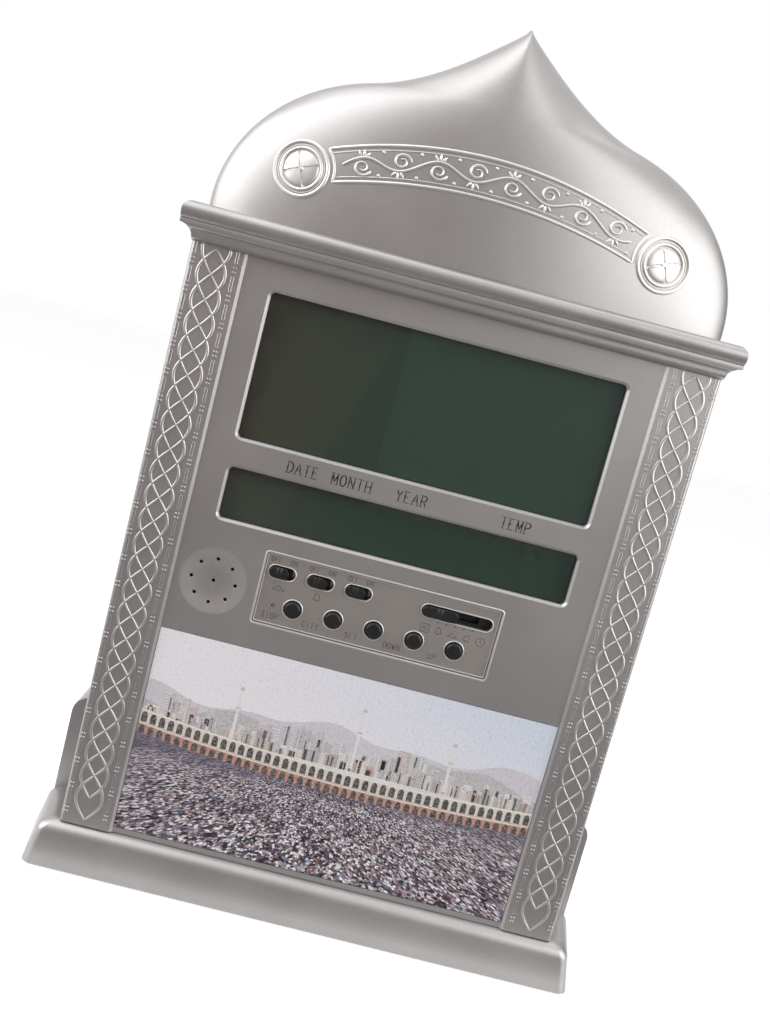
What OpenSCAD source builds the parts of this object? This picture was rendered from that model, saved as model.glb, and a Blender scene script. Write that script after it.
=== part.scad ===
// Azan clock: a domed desk and wall clock in a silver plastic housing.
// Width runs along X, the front faces -Y and height runs along +Z. The origin lies on
// the surface that the clock stands on, in the middle of the clock's width and depth.

/* [Front housing] */
// Width of the flat panel between the two columns
panel_w = 135.5; // [128:0.5:175]
// Width of each column's face
column_w = 17; // [14:0.5:24]
// Width of the sloping step from the panel up to a column's face
column_step_w = 0.9; // [0.5:0.1:2]
// How far the column faces stand in front of the panel
column_proud = 1; // [0.5:0.1:2.5]
// Height of the columns, from the plinth up to the cornice
column_h = 196.5; // [190:0.5:245]
// Depth of the front housing, from the column faces back to the parting line
front_depth = 25.2; // [24:0.1:40]
// Wall thickness of the moulded housings
wall = 2.2; // [1.6:0.1:2.8]
// Rounding of the columns' outer edges
column_edge_r = 1.2; // [0.5:0.1:1.5]

/* [Dome] */
// Height of the dome above the cornice
dome_h = 76.6; // [60:0.1:100]
// Width of the dome at its widest
dome_w = 173.4; // [150:0.2:178]
// Width of the dome where it meets the cornice
dome_base_w = 170.4; // [148:0.2:176]
// Half width at the shoulder, where the outline turns from round to hollow
shoulder_x = 44.9; // [30:0.1:55]
// Height of the shoulder above the cornice
shoulder_z = 49.8; // [38:0.1:60]
// Fall of the outline at the shoulder, for each millimetre outwards
shoulder_fall = 0.25; // [0.1:0.01:0.5]
// How far the dome's middle bulges forward of its rim
dome_bulge = 17.6; // [12:0.1:22]
// How far the rim of the dome lies in front of the parting line
dome_rim_d = 11.2; // [6:0.1:14]
// How far the tip of the dome stands forward of its rim
dome_tip_d = 5; // [2:0.1:8]

/* [Cornice] */
// Height of the cornice
cornice_h = 11.3; // [11:0.1:16]
// How far the cornice stands in front of the columns
cornice_proud = 6; // [5:0.1:9]
// How far the cornice reaches out past the columns on each side
cornice_side = 4.1; // [3:0.1:8]
// Radius of the round roll along the cornice's top
cornice_roll_r = 3; // [2:0.05:3.5]

/* [Plinth] */
// Height of the plinth
plinth_h = 15.6; // [14:0.1:22]
// How far the plinth's lower front edge stands in front of the columns
plinth_proud = 4.4; // [3:0.1:8]
// How far the plinth's lower front corners stand out past the columns
plinth_side = 9.2; // [5:0.1:12]
// How far the plinth widens on each side from its front to its rear
plinth_flare = 3.6; // [0:0.1:8]
// How far the plinth's faces lean in before its top edge begins to round
plinth_lean = 1.9; // [0:0.1:3]
// Radius of the plinth's rounded top edge
plinth_edge_r = 5; // [3:0.1:6]
// Rounding of the plinth's upright front corners
plinth_corner_r = 3.2; // [2:0.1:6]

/* [Rear cover] */
// Depth of the rear cover behind the parting line
rear_depth = 13.8; // [12:0.1:22]
// Rounding of the rear cover's upright back edges
rear_edge_r = 5; // [3:0.1:8]
// Height of the rear foot, which holds the batteries
foot_h = 50; // [48:0.5:70]
// Depth of the rear foot behind the parting line
foot_depth = 22.8; // [22:0.1:32]
// How far the rear foot reaches out past the columns on each side
foot_side = 9; // [4:0.1:12]
// Rounding of the rear foot's upper corners
foot_corner_r = 6; // [3:0.1:10]
// Rounding of the rear foot's upper back edge
foot_back_r = 8; // [4:0.1:8]
// Radius of the round part of the hanging keyhole
keyhole_r = 4.5; // [4:0.1:6]
// Width of the keyhole's neck, which takes the shank of the wall screw
keyhole_neck_w = 4.4; // [3.6:0.1:5]
// Length of the keyhole's neck above the round part
keyhole_neck_l = 9; // [8:0.5:14]
// Depth of the keyhole's centre below the tip of the dome
keyhole_drop = 48; // [44:1:60]

/* [Displays] */
// Width of both display windows
window_w = 116.2; // [90:0.2:118]
// Height of the upper display window
upper_window_h = 47; // [38:0.2:52]
// Height of the lower display window
lower_window_h = 17; // [12:0.2:20]
// Distance from the cornice down to the upper window
window_drop = 9.2; // [8:0.1:12]
// Distance between the two windows
window_space = 9.7; // [9.6:0.1:14]
// Corner radius of the windows
window_r = 1.6; // [0.8:0.1:4]
// Width of the sloping rim around each window
window_bevel = 0.85; // [0.3:0.05:1]
// Thickness of the clear lenses
lens_t = 1.2; // [0.8:0.1:1.6]
// Thickness of the liquid crystal glasses
glass_t = 2.8; // [2:0.1:3]
// How far each glass reaches past its window at the sides
glass_side = 3; // [2:0.1:3.5]
// How far each glass reaches past its window above and below
glass_edge = 2.6; // [2.4:0.1:3]
// Distance from the panel's back to the circuit boards
board_space = 7.4; // [7.2:0.1:9]
// Thickness of the circuit boards
board_t = 1.6; // [1:0.1:2]

/* [Controls] */
// Width of the recess that holds the controls
control_w = 79; // [78:0.5:90]
// Height of the recess that holds the controls
control_h = 23.7; // [22.5:0.1:30]
// Distance from the lower window down to the recess
control_drop = 7; // [6.8:0.1:12]
// Depth of the recess
control_depth = 1.2; // [0.8:0.1:1.6]
// Thickness of the printed plate in the recess
plate_t = 0.4; // [0.2:0.1:0.6]
// Thickness of the wall behind the recess
control_wall = 2.4; // [2:0.1:2.6]
// Height of the knob slots
slot_h = 4.1; // [3.6:0.1:5]
// Length of the knob of a two-position switch
knob_w = 6.4; // [5:0.1:7]
// Travel of a two-position switch
knob_travel = 2; // [1.5:0.1:2.6]
// Distance between neighbouring two-position switches
knob_pitch = 12.8; // [12.6:0.1:13.4]
// Length of the selector's knob
selector_w = 11.9; // [8:0.1:13]
// Travel of the selector from one position to the next
selector_step = 2.9; // [2:0.1:3]
// Free space at each end of a knob in its slot
slot_end_gap = 0.15; // [0.1:0.05:0.3]
// Distance from the recess's top to the middle of the knobs
knob_row = 5.9; // [5.6:0.1:8]
// Distance from the recess's top to the middle of the buttons
button_row = 16.9; // [16:0.1:19]
// Diameter of the push buttons
button_d = 5.4; // [4:0.1:7]
// Distance between neighbouring push buttons
button_pitch = 13.65; // [12:0.05:15]
// Free space around a push button in its hole
button_gap = 0.3; // [0.2:0.05:0.5]
// Travel of a push button
button_travel = 0.8; // [0.5:0.1:1]
// How far knobs and buttons stand in front of the panel
control_proud = 0.4; // [0.2:0.1:1.5]

/* [Speaker] */
// Outer diameter of the loudspeaker
speaker_d = 27; // [22:0.5:30]
// Distance from the panel's left edge to the middle of the loudspeaker
speaker_inset = 13.15; // [12:0.05:16]
// Distance from the recess's top down to the middle of the loudspeaker
speaker_drop = 13.9; // [10:0.1:16]
// Diameter of the shallow dish over the loudspeaker
dish_d = 22.2; // [18:0.1:24]
// Depth of the shallow dish
dish_depth = 0.8; // [0.4:0.1:1]
// Diameter of the sound holes
sound_hole_d = 1.2; // [0.8:0.1:2]
// Radius of the circle of sound holes
sound_ring_r = 7.35; // [5:0.05:9]
// Number of sound holes in the circle
sound_holes = 8; // [6:1:12]

/* [Picture] */
// Height of the picture card
picture_h = 71.8; // [50:0.2:72]
// Thickness of the picture card
picture_t = 0.8; // [0.4:0.1:1]
// Height of the picture's lower edge above the plinth
picture_lift = 1.9; // [1:0.1:4]

/* [Batteries] */
// Diameter of a battery cell
cell_d = 14.2; // [10:0.1:14.5]
// Length of a battery cell, with its contact nub
cell_l = 50.2; // [44:0.1:50.5]
// Length of a compressed contact spring
spring_l = 6.4; // [5:0.1:8]
// Diameter of the spring wire
spring_wire_d = 0.8; // [0.5:0.1:1]
// Turns in a contact spring
spring_turns = 4; // [3:0.5:5]
// Thickness of the battery door
door_t = 1.9; // [1.5:0.1:2.4]
// Height of the battery bay's floor above the standing surface
bay_lift = 6; // [5.6:0.1:9]

/* [Fasteners and fits] */
// Radius of the housing screws' shanks
screw_r = 1.45; // [1.2:0.05:1.6]
// Length of the housing screws below their heads
screw_l = 12; // [8:0.5:16]
// Radius of the small screws' shanks
small_screw_r = 1.1; // [0.9:0.05:1.2]
// Radius of the posts that take the housing screws
post_r = 3.6; // [3.2:0.1:4.2]
// Clearance between pieces that drop into each other
fit = 0.2; // [0.1:0.05:0.4]

/* [Hidden] */
$fn = 48;
eps = 0.01;
thread_gap = 0.03;
silver = [0.66, 0.65, 0.64];
dark = [0.09, 0.09, 0.1];
board_green = [0.1, 0.32, 0.2];
steel = [0.72, 0.73, 0.75];

// Overall places: half width of the body and depths from front to back
body_x = panel_w / 2 + column_step_w + column_w;
total_depth = cornice_proud + front_depth + foot_depth;
y_face = cornice_proud - total_depth / 2;
y_panel = y_face + column_proud;
y_inner = y_panel + wall;
y_column_inner = y_face + wall;
y_part = y_face + front_depth;
y_back = y_part + rear_depth;
y_foot = y_part + foot_depth;
y_rim = y_part - dome_rim_d;
foot_x = body_x + foot_side;
cornice_foot = 0.2;

// Heights
z_plinth = plinth_h;
z_cornice = z_plinth + column_h;
z_dome = z_cornice + cornice_h;
z_tip = z_dome + dome_h;

// Displays
upper_z1 = z_cornice - window_drop;
upper_z0 = upper_z1 - upper_window_h;
lower_z1 = upper_z0 - window_space;
lower_z0 = lower_z1 - lower_window_h;
windows = [[upper_z0, upper_z1], [lower_z0, lower_z1]];
glass_x = window_w / 2 + glass_side;
y_lens = y_inner + lens_t;
y_glass0 = y_lens + 0.1;
y_glass1 = y_glass0 + glass_t;
y_board = y_inner + board_space;
y_board_back = y_board + board_t;
frame_x = glass_x + 4.7;
frame_z0 = lower_z0 - glass_edge - 2;
frame_z1 = upper_z1 + glass_edge + 2.7;
board_x = frame_x + 6.7;
board_z0 = frame_z0 + 0.2;
board_z1 = frame_z1;
board_post_x = frame_x + 3.8;
board_post_r = 3.2;
board_post_zs = [board_z0 + 4, board_z1 - 4];

// Controls
control_z1 = lower_z0 - control_drop;
control_z0 = control_z1 - control_h;
control_pad = 2.3;
y_recess = y_panel + control_depth;
y_pad = y_recess + control_wall;
y_control = y_panel - control_proud;
knob_z = control_z1 - knob_row;
button_z = control_z1 - button_row;
knob_slot_w = knob_w + knob_travel + 2 * slot_end_gap;
knob_rib = 0.65;
knob_x0 = 6.1 - control_w / 2;
knob_xs = [for (i = [0:2]) knob_x0 + i * knob_pitch];
selector_travel = 4 * selector_step;
selector_slot_w = selector_w + selector_travel + 2 * slot_end_gap;
selector_x = control_w / 2 - 2 - selector_slot_w / 2;
button_xs = [for (i = [-2:2]) i * button_pitch];
button_r = button_d / 2;
flange_t = 1;
y_flange = y_pad + 0.2;
y_flange_back = y_flange + flange_t;
y_tact = y_flange_back + button_travel + 0.7;
y_switch = y_flange_back + 0.2;
switch_w = 12;
switch_h = 6.6;
key_board_x = control_w / 2 + 1.5;
key_board_z0 = control_z0 - 3;
key_board_z1 = frame_z0 - 0.6;
key_post_r = 2.6;
key_post_gap_x = (knob_xs[2] + selector_x - selector_slot_w / 2 + switch_w / 2 - 3) / 2;
key_posts = [[-key_board_x + 3.5, key_board_z0 + 3.3], [key_board_x - 3.5, key_board_z0 + 3.3],
    [key_post_gap_x, knob_z]];

// Speaker
speaker_r = speaker_d / 2;
speaker_x = speaker_inset - panel_w / 2;
speaker_z = control_z1 - speaker_drop;
dish_sphere_r = (pow(dish_d / 2, 2) + pow(dish_depth, 2)) / (2 * dish_depth);
y_gasket = y_inner;
y_speaker = y_gasket + 0.8;
y_speaker_back = y_speaker + 1;
speaker_depth = 4.6;
y_magnet = y_speaker + speaker_depth + 4;
speaker_ear_d = (speaker_r + 4) * sin(45);
speaker_ears = [for (s = [-1, 1]) [speaker_x + s * speaker_ear_d, speaker_z - s * speaker_ear_d]];

// Picture
picture_z0 = z_plinth + picture_lift;
picture_z1 = picture_z0 + picture_h;

// Battery bay in the rear foot
y_door = y_foot - door_t;
y_ledge = y_door - fit;
ledge = 2;
y_cell = y_ledge - 0.4 - cell_d / 2;
y_bay = y_cell - cell_d / 2 - 0.3;
bay_wall = 1.8;
contact_t = 0.4;
bay_x = (cell_l + spring_l) / 2 + contact_t + 0.05;
bay_z0 = bay_lift;
bay_z1 = bay_z0 + 2 * cell_d + 1.8;
cell_zs = [bay_z0 + 0.6 + cell_d / 2, bay_z1 - 0.6 - cell_d / 2];
door_z0 = bay_z0 - ledge + fit;
door_z1 = bay_z1 + ledge - fit;
door_x = bay_x + ledge - fit;
door_tabs = [-18, 18];
door_tab_w = 8;

// Screws that hold the rear cover to the front cover, the dome and the plinth
side_post_x = body_x - wall - post_r - 3.3;
dome_post_x = 42;
dome_post_z = z_dome + 20;
plinth_post_x = body_x - 5;
plinth_post_z = plinth_h / 2;
side_post_zs = [foot_h + 12, z_cornice - 24];
rear_screws = [for (s = [-1, 1]) each concat([for (z = side_post_zs) [s * side_post_x, z]],
    [[s * dome_post_x, dome_post_z], [s * plinth_post_x, plinth_post_z]])];
plinth_screw_xs = [-52, 0, 52];
plinth_screw_y = y_part - 11.2;
head_h = 1.8;
head_r = 2.8;

// ---------------------------------------------------------------- shared shapes

// Box between two opposite corners
module box(a, b) {
    translate(a) cube(b - a);
}

// Extrudes a shape drawn in X and Z from y0 back to y1
module front_prism(y0, y1) {
    translate([0, y1, 0]) rotate([90, 0, 0]) linear_extrude(y1 - y0) children();
}

// Extrudes a shape drawn in Y and Z across the width, centred
module side_prism(w) {
    translate([-w / 2, 0, 0]) rotate([90, 0, 90]) linear_extrude(w) children();
}

// Round rod along Y
module rod(x, z, r, y0, y1) {
    translate([x, y1, z]) rotate([90, 0, 0]) cylinder(r = r, h = y1 - y0);
}

// Rectangle between two corners with four round corners
module rounded(x0, z0, x1, z1, r) {
    translate([x0 + r, z0]) square([x1 - x0 - 2 * r, z1 - z0]);
    translate([x0, z0 + r]) square([x1 - x0, z1 - z0 - 2 * r]);
    for (x = [x0 + r, x1 - r], z = [z0 + r, z1 - r]) translate([x, z]) circle(r = r);
}

// Slot shape with two round ends, centred on height z
module stadium(x0, x1, z, h) {
    translate([x0 + h / 2, z - h / 2]) square([x1 - x0 - h, h]);
    for (x = [x0 + h / 2, x1 - h / 2]) translate([x, z]) circle(r = h / 2);
}

// Closed solid through a stack of rings that hold the same number of points
module loft(rings) {
    n = len(rings[0]);
    last = len(rings) - 1;
    sides = [for (i = [0:last - 1], j = [0:n - 1])
        let (a = i * n + j, b = i * n + (j + 1) % n)
        each [[a, b, b + n], [a, b + n, a + n]]];
    caps = [[for (j = [n - 1:-1:0]) j], [for (j = [0:n - 1]) last * n + j]];
    polyhedron(points = [for (r = rings) each r], faces = [for (f = concat(sides, caps)) reverse(f)]);
}

function reverse(list) = [for (i = [len(list) - 1:-1:0]) list[i]];

// Round tube along a path, with its rings square to the path
module tube(path, r, sides = 8) {
    last = len(path) - 1;
    loft([for (i = [0:last])
        let (ahead = path[min(i + 1, last)] - path[max(i - 1, 0)],
            t = ahead / norm(ahead),
            side = cross(t, abs(t.z) > 0.9 ? [0, 1, 0] : [0, 0, 1]),
            u = side / norm(side), v = cross(t, u))
        [for (k = [0:sides - 1]) path[i] + r * (cos(k * 360 / sides) * u - sin(k * 360 / sides) * v)]]);
}

// Smooth path through hand-chosen points
function smooth(points, steps = 3) = [for (i = [0:len(points) - 2], s = [0:steps - 1])
    spline(points, i, s / steps), points[len(points) - 1]];
function spline(p, i, t) =
    let (a = p[max(i - 1, 0)], b = p[i], c = p[i + 1], d = p[min(i + 2, len(p) - 1)])
    0.5 * (2 * b + (c - a) * t + (2 * a - 5 * b + 4 * c - d) * t * t
        + (3 * b - a - 3 * c + d) * t * t * t);

// Pan-head screw along +Y from the underside of its head, with a cross recess
module screw(r, l, hr, hh) {
    difference() {
        union() {
            translate([0, 0, 0]) rotate([90, 0, 0]) cylinder(r = r, h = l);
            rotate([-90, 0, 0]) cylinder(r = hr, h = hh);
        }
        for (a = [0, 90]) rotate([0, a, 0]) translate([-hr * 0.62, hh * 0.45, -hr * 0.14])
            cube([hr * 1.24, hh, hr * 0.28]);
    }
}

// ---------------------------------------------------------------- outline of the dome

function bezier(p, t) = pow(1 - t, 3) * p[0] + 3 * pow(1 - t, 2) * t * p[1]
    + 3 * (1 - t) * t * t * p[2] + pow(t, 3) * p[3];
function bezier_slope(p, t) = 3 * pow(1 - t, 2) * (p[1] - p[0]) + 6 * (1 - t) * t * (p[2] - p[1])
    + 3 * t * t * (p[3] - p[2]);

shoulder = [shoulder_x, shoulder_z];
shoulder_run = [1, -shoulder_fall];
dome_lower = [[dome_base_w / 2, 0], [dome_w / 2, 0.31 * dome_h], shoulder + 23.9 * shoulder_run, shoulder];
dome_upper = [shoulder, shoulder - 21.1 * shoulder_run, [9.2, dome_h - 6], [0, dome_h]];
tip_half_w = 1;

// Half width and height of the outline, for u from 0 at the cornice to 1 at the tip
function outline(u) = u < 0.5 ? bezier(dome_lower, 2 * u) : bezier(dome_upper, 2 * u - 1);
function outline_slope(u) = u < 0.5 ? bezier_slope(dome_lower, 2 * u) : bezier_slope(dome_upper, 2 * u - 1);

// The outline drawn in by a wall
function outline_inside(u, t) =
    let (s = outline_slope(u), n = [s.y, -s.x] / norm(s)) outline(u) - t * n;

// How far the dome's middle stands forward of its rim, at a height above the cornice
function bulge(h) = dome_tip_d
    + (dome_bulge - dome_tip_d) * sqrt(max(0, 1 - pow(min(1, max(0, h) / dome_h), 2.2)));

// Fullness of the dome's section: 2 is an ellipse, less is more like a keel
function fullness(h) = 2 - 0.5 * pow(min(1, max(0, h) / dome_h), 2);

// Half of the outline's parameter for a height above the cornice, by repeated halving
function outline_at(h, lo = 0, hi = 1, n = 14) = n == 0 ? (lo + hi) / 2
    : outline((lo + hi) / 2).y > h ? outline_at(h, lo, (lo + hi) / 2, n - 1)
    : outline_at(h, (lo + hi) / 2, hi, n - 1);

// Y of the dome's front skin at a place on it
function dome_y(x, h) = let (w = outline(outline_at(h)).x, p = fullness(h))
    y_rim - bulge(h) * pow(max(0, 1 - pow(abs(x) / w, p)), 1 / p);

y_dome_post = dome_y(dome_post_x + post_r, dome_post_z - z_dome + post_r) + 0.4 * wall;

// One ring of the dome: its front skin from left to right, then straight across the back
function dome_ring(w, d, p, z, y1, columns) = concat(
    [for (j = [0:columns]) let (a = -90 + 180 * j / columns)
        [w * sign(a) * pow(abs(sin(a)), 2 / p), y_rim - d * pow(abs(cos(a)), 2 / p), z]],
    [[w, y1, z], [-w, y1, z]]);

// ---------------------------------------------------------------- housings

// Plan of the right column: sloping step, face, rounded edge and side wall
module column_plan() {
    inner_x = panel_w / 2;
    polygon([[inner_x, y_panel], [inner_x + column_step_w, y_face], [body_x - column_edge_r, y_face],
        [body_x - column_edge_r, y_column_inner], [inner_x, y_column_inner]]);
    translate([body_x - column_edge_r, y_face + column_edge_r]) circle(r = column_edge_r);
    translate([body_x - wall, y_face + column_edge_r]) square([wall, front_depth - column_edge_r]);
}

// Section of the cornice, seen from the side: steps and grooves under a round roll
module cornice_section() {
    roll = [-cornice_proud + cornice_roll_r, cornice_h - cornice_roll_r];
    translate([y_face, z_cornice]) {
        translate(roll) circle(r = cornice_roll_r);
        polygon([[front_depth, -cornice_foot], [0, -cornice_foot], [-1.8, 0.3], [-2.4, 0.7], [-2.6, 1.3], [-2.6, 2.5],
            [-3, 2.9], [-3.8, 3.2], [-4.3, 3.7], [-4.4, 4.4], [-4.4, 5.1], [-4.2, 5.7], roll,
            [roll.x, cornice_h], [front_depth, cornice_h]]);
    }
}

// The cornice's end, seen from the front: a roll over a hollow cove
module cornice_end() {
    x = body_x + cornice_side;
    z_cove = z_cornice + cornice_foot;
    roll = [x - cornice_roll_r, z_dome - cornice_roll_r];
    difference() {
        union() {
            translate([-x, z_cove]) square([2 * x, roll.y - z_cove]);
            translate([-roll.x, z_cove]) square([2 * roll.x, z_dome - z_cove]);
            for (s = [-1, 1]) translate([s * roll.x, roll.y]) circle(r = cornice_roll_r);
        }
        for (s = [-1, 1]) translate([s * x, z_cove]) circle(r = cornice_side);
    }
    translate([-body_x, z_cornice - cornice_foot]) square([2 * body_x, 3 * cornice_foot]);
}

module cornice() {
    intersection() {
        side_prism(2 * (body_x + cornice_side + 1)) cornice_section();
        front_prism(y_face - cornice_proud - 1, y_part) cornice_end();
    }
}

module display_windows(y0, y1, grow = 0) {
    for (w = windows) front_prism(y0, y1)
        rounded(-window_w / 2 - grow, w[0] - grow, window_w / 2 + grow, w[1] + grow, window_r + grow);
}

// Sloping rim around each window
function window_ring(w, grow, y) = let (r = window_r + grow, x = window_w / 2 - window_r,
        z0 = w[0] + window_r, z1 = w[1] - window_r)
    [for (c = [[x, z1, 0], [-x, z1, 90], [-x, z0, 180], [x, z0, 270]], k = [0:4])
        [c[0] + r * cos(c[2] + 22.5 * k), y, c[1] + r * sin(c[2] + 22.5 * k)]];

module window_bevels() {
    for (w = windows) loft([window_ring(w, window_bevel + 0.1, y_panel - 0.1),
        window_ring(w, -0.1, y_panel + window_bevel + 0.1)]);
}

module knob_slots(y0, y1) {
    slots = concat([for (x = knob_xs) [x, knob_slot_w / 2]], [[selector_x, selector_slot_w / 2]]);
    for (s = slots) front_prism(y0, y1) stadium(s[0] - s[1], s[0] + s[1], knob_z, slot_h);
}

module button_holes(y0, y1) {
    for (x = button_xs) rod(x, button_z, button_r + button_gap, y0, y1);
}

module front_cover() {
    color(silver) difference() {
        union() {
            panel_x = panel_w / 2 + column_step_w + wall;
            box([-panel_x, y_panel, z_plinth], [panel_x, y_inner, z_cornice + 1]);
            for (s = [0, 1]) mirror([s, 0, 0]) translate([0, 0, z_plinth]) linear_extrude(column_h + 1) column_plan();
            difference() {
                cornice();
                box([wall - body_x, y_column_inner, z_cornice - 1], [body_x - wall, y_part + 1, z_dome - wall]);
                box([wall - body_x + 1, y_face - cornice_proud / 3, z_cornice + 3.6],
                    [body_x - wall - 1, y_part + 1, z_dome - wall]);
            }
            box([-body_x, y_column_inner - 1, z_plinth], [body_x, y_part, z_plinth + wall]);
            box([-control_w / 2 - control_pad, y_inner - 1, control_z0 - control_pad],
                [control_w / 2 + control_pad, y_pad, control_z1 + control_pad]);
            rod(speaker_x, speaker_z, speaker_r + fit + 1.6, y_inner - 0.5, y_speaker_back);
            for (p = speaker_ears) rod(p.x, p.y, 2.6, y_inner - 0.5, y_speaker_back);
            for (x = [-board_post_x, board_post_x], z = board_post_zs)
                rod(x, z, board_post_r, y_column_inner - 0.3, y_board);
            for (p = key_posts) rod(p.x, p.y, key_post_r, y_inner - 0.5, y_board);
            for (x = [-side_post_x, side_post_x], z = side_post_zs) rod(x, z, post_r, y_column_inner - 0.3, y_part);
            for (x = plinth_screw_xs) translate([x, plinth_screw_y, z_plinth]) cylinder(r = 3.2, h = 11);
        }
        display_windows(y_panel - 1, y_inner + 1);
        window_bevels();
        // Control recess, its slots and holes
        front_prism(y_panel - 1, y_recess)
            rounded(-control_w / 2, control_z0, control_w / 2, control_z1, 0.8);
        knob_slots(y_panel - 1, y_pad + 1);
        button_holes(y_panel - 1, y_pad + 1);
        // Speaker seat, dish and sound holes
        rod(speaker_x, speaker_z, speaker_r + fit, y_inner, y_pad + 1);
        intersection() {
            translate([speaker_x, y_panel + dish_depth - dish_sphere_r, speaker_z])
                sphere(r = dish_sphere_r, $fn = 96);
            rod(speaker_x, speaker_z, dish_d / 2 + 0.1, y_panel - 0.2, y_inner);
        }
        rod(speaker_x, speaker_z, sound_hole_d / 2, y_panel - 1, y_inner + 1);
        for (i = [1:sound_holes]) rod(speaker_x + sound_ring_r * cos(i * 360 / sound_holes),
            speaker_z + sound_ring_r * sin(i * 360 / sound_holes), sound_hole_d / 2, y_panel - 1, y_inner + 1);
        // Pocket of the picture card
        box([-panel_w / 2, y_panel - 1, picture_z0], [panel_w / 2, y_panel + picture_t + 0.1, picture_z1]);
        // Screw holes
        for (p = speaker_ears) rod(p.x, p.y, small_screw_r + thread_gap, y_speaker_back - 3, y_speaker_back + 1);
        for (x = [-board_post_x, board_post_x], z = board_post_zs)
            rod(x, z, small_screw_r + thread_gap, y_board - 6, y_board + 1);
        for (p = key_posts) rod(p.x, p.y, small_screw_r + thread_gap, y_board - 4.5, y_board + 1);
        for (x = [-side_post_x, side_post_x], z = side_post_zs)
            rod(x, z, screw_r + thread_gap, y_part - screw_l, y_part + 1);
        for (x = plinth_screw_xs) translate([x, plinth_screw_y, z_plinth - 1])
            cylinder(r = screw_r + thread_gap, h = 10.5);
    }
}

module dome_cover() {
    rows = 20;
    inner_rows = 13;
    inner_top = 0.86;
    color(silver) difference() {
        union() {
            difference() {
                loft([for (i = [0:rows]) let (o = outline(i / rows))
                    dome_ring(max(tip_half_w, o.x), bulge(o.y), fullness(o.y), z_dome + o.y, y_part, 32)]);
                loft([for (i = [-1:inner_rows])
                    let (u = max(0, i) / inner_rows * inner_top, o = outline_inside(u, wall))
                    dome_ring(o.x, bulge(o.y + 2) - wall, 2, i < 0 ? z_dome - 1 : z_dome + max(eps, o.y),
                        y_part + 1, 20)]);
            }
            for (x = [-dome_post_x, dome_post_x])
                rod(x, dome_post_z, post_r, y_dome_post, y_part);
        }
        for (x = [-dome_post_x, dome_post_x])
            rod(x, dome_post_z, screw_r + thread_gap, y_part - screw_l, y_part + 1);
    }
}

// One ring of the plinth, drawn in by e from its outermost outline
function plinth_ring(e, z, y1) =
    let (y0 = y_face - plinth_proud + e, slope = plinth_flare / (front_depth + plinth_proud),
        x0 = body_x + plinth_side - e, x1 = x0 + slope * (y1 - y0), r = plinth_corner_r, n = 8)
    concat([[-x1, y1, z]],
        [for (k = [0:n]) let (a = 180 + 90 * k / n) [-x0 + r + r * cos(a), y0 + r + r * sin(a), z]],
        [for (k = [0:n]) let (a = 270 + 90 * k / n) [x0 - r + r * cos(a), y0 + r + r * sin(a), z]],
        [[x1, y1, z]]);

module plinth() {
    turns = 6;
    edge_z = plinth_h - plinth_edge_r;
    color(silver) difference() {
        union() {
            difference() {
                loft(concat([plinth_ring(0.5, 0, y_part), plinth_ring(0, 0.5, y_part)],
                    [for (k = [0:turns]) let (a = 90 * k / turns, e = plinth_edge_r * (1 - cos(a)))
                        plinth_ring(plinth_lean + e, edge_z + plinth_edge_r * sin(a), y_part)]));
                loft([plinth_ring(wall, wall, y_part - wall), plinth_ring(wall + plinth_lean, edge_z, y_part - wall),
                    plinth_ring(wall + plinth_lean + plinth_edge_r * 0.4, plinth_h - wall, y_part - wall)]);
                box([wall - foot_x, y_part - wall - 1, wall], [foot_x - wall, y_part + 1, plinth_h - wall]);
            }
            for (x = [-plinth_post_x, plinth_post_x])
                rod(x, plinth_post_z, post_r, y_face - plinth_proud + plinth_lean + 1, y_part);
        }
        for (x = [-plinth_post_x, plinth_post_x])
            rod(x, plinth_post_z, screw_r + thread_gap, y_part - screw_l, y_part + 1);
        for (x = plinth_screw_xs) translate([x, plinth_screw_y, -1]) {
            cylinder(r = screw_r + 0.25, h = plinth_h + 2);
            cylinder(r = head_r + 0.5, h = wall + 2);
        }
    }
}

// One ring of the rear cover's tray: straight at the parting line, rounded at the back
function tray_ring(x, y0, y1, z, r) = let (n = 5) concat(
    [[-x, y0, z], [x, y0, z]],
    [for (k = [0:n]) let (a = 90 * k / n) [x - r + r * cos(a), y1 - r + r * sin(a), z]],
    [for (k = [0:n]) let (a = 90 + 90 * k / n) [r - x + r * cos(a), y1 - r + r * sin(a), z]]);

// How far the tray's back draws in towards the tip of the dome
function tray_back(h) = y_part + (rear_depth - 5) * sqrt(max(0, 1 - pow(min(1, h / dome_h), 3))) + 5;

module tray(t, rows, top, y0, z0) {
    r = rear_edge_r - t / 2;
    loft(concat([tray_ring(body_x - t, y0, y_back - t, z0, r), tray_ring(body_x - t, y0, y_back - t, z_dome - 1, r)],
        [for (i = [0:rows]) let (u = top * i / rows, o = outline_inside(u, t), x = max(tip_half_w, o.x))
            tray_ring(x, y0, tray_back(max(0, o.y)) - t, z_dome + max(0, o.y), min(r, x * 0.8))]));
}

// Section of the rear foot from the side, drawn in by t
module foot_section(t) {
    r = foot_back_r - t;
    difference() {
        translate([y_part - (t > 0 ? 1 : 0), t]) square([foot_depth - t + (t > 0 ? 1 : 0), foot_h - 2 * t]);
        difference() {
            translate([y_foot - foot_back_r, foot_h - foot_back_r]) square(foot_back_r + 1);
            translate([y_foot - foot_back_r, foot_h - foot_back_r]) circle(r = r);
        }
    }
}

module foot(t) {
    x = foot_x - t;
    r = foot_corner_r - t / 2;
    z1 = foot_h - t;
    intersection() {
        side_prism(2 * foot_x + 2) foot_section(t);
        front_prism(y_part - 1, y_foot + 1) {
            translate([-x, t]) square([2 * x, z1 - t - r]);
            translate([r - x, t]) square([2 * x - 2 * r, z1 - t]);
            for (s = [-1, 1]) translate([s * (x - r), z1 - r]) circle(r = r);
        }
    }
}

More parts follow.
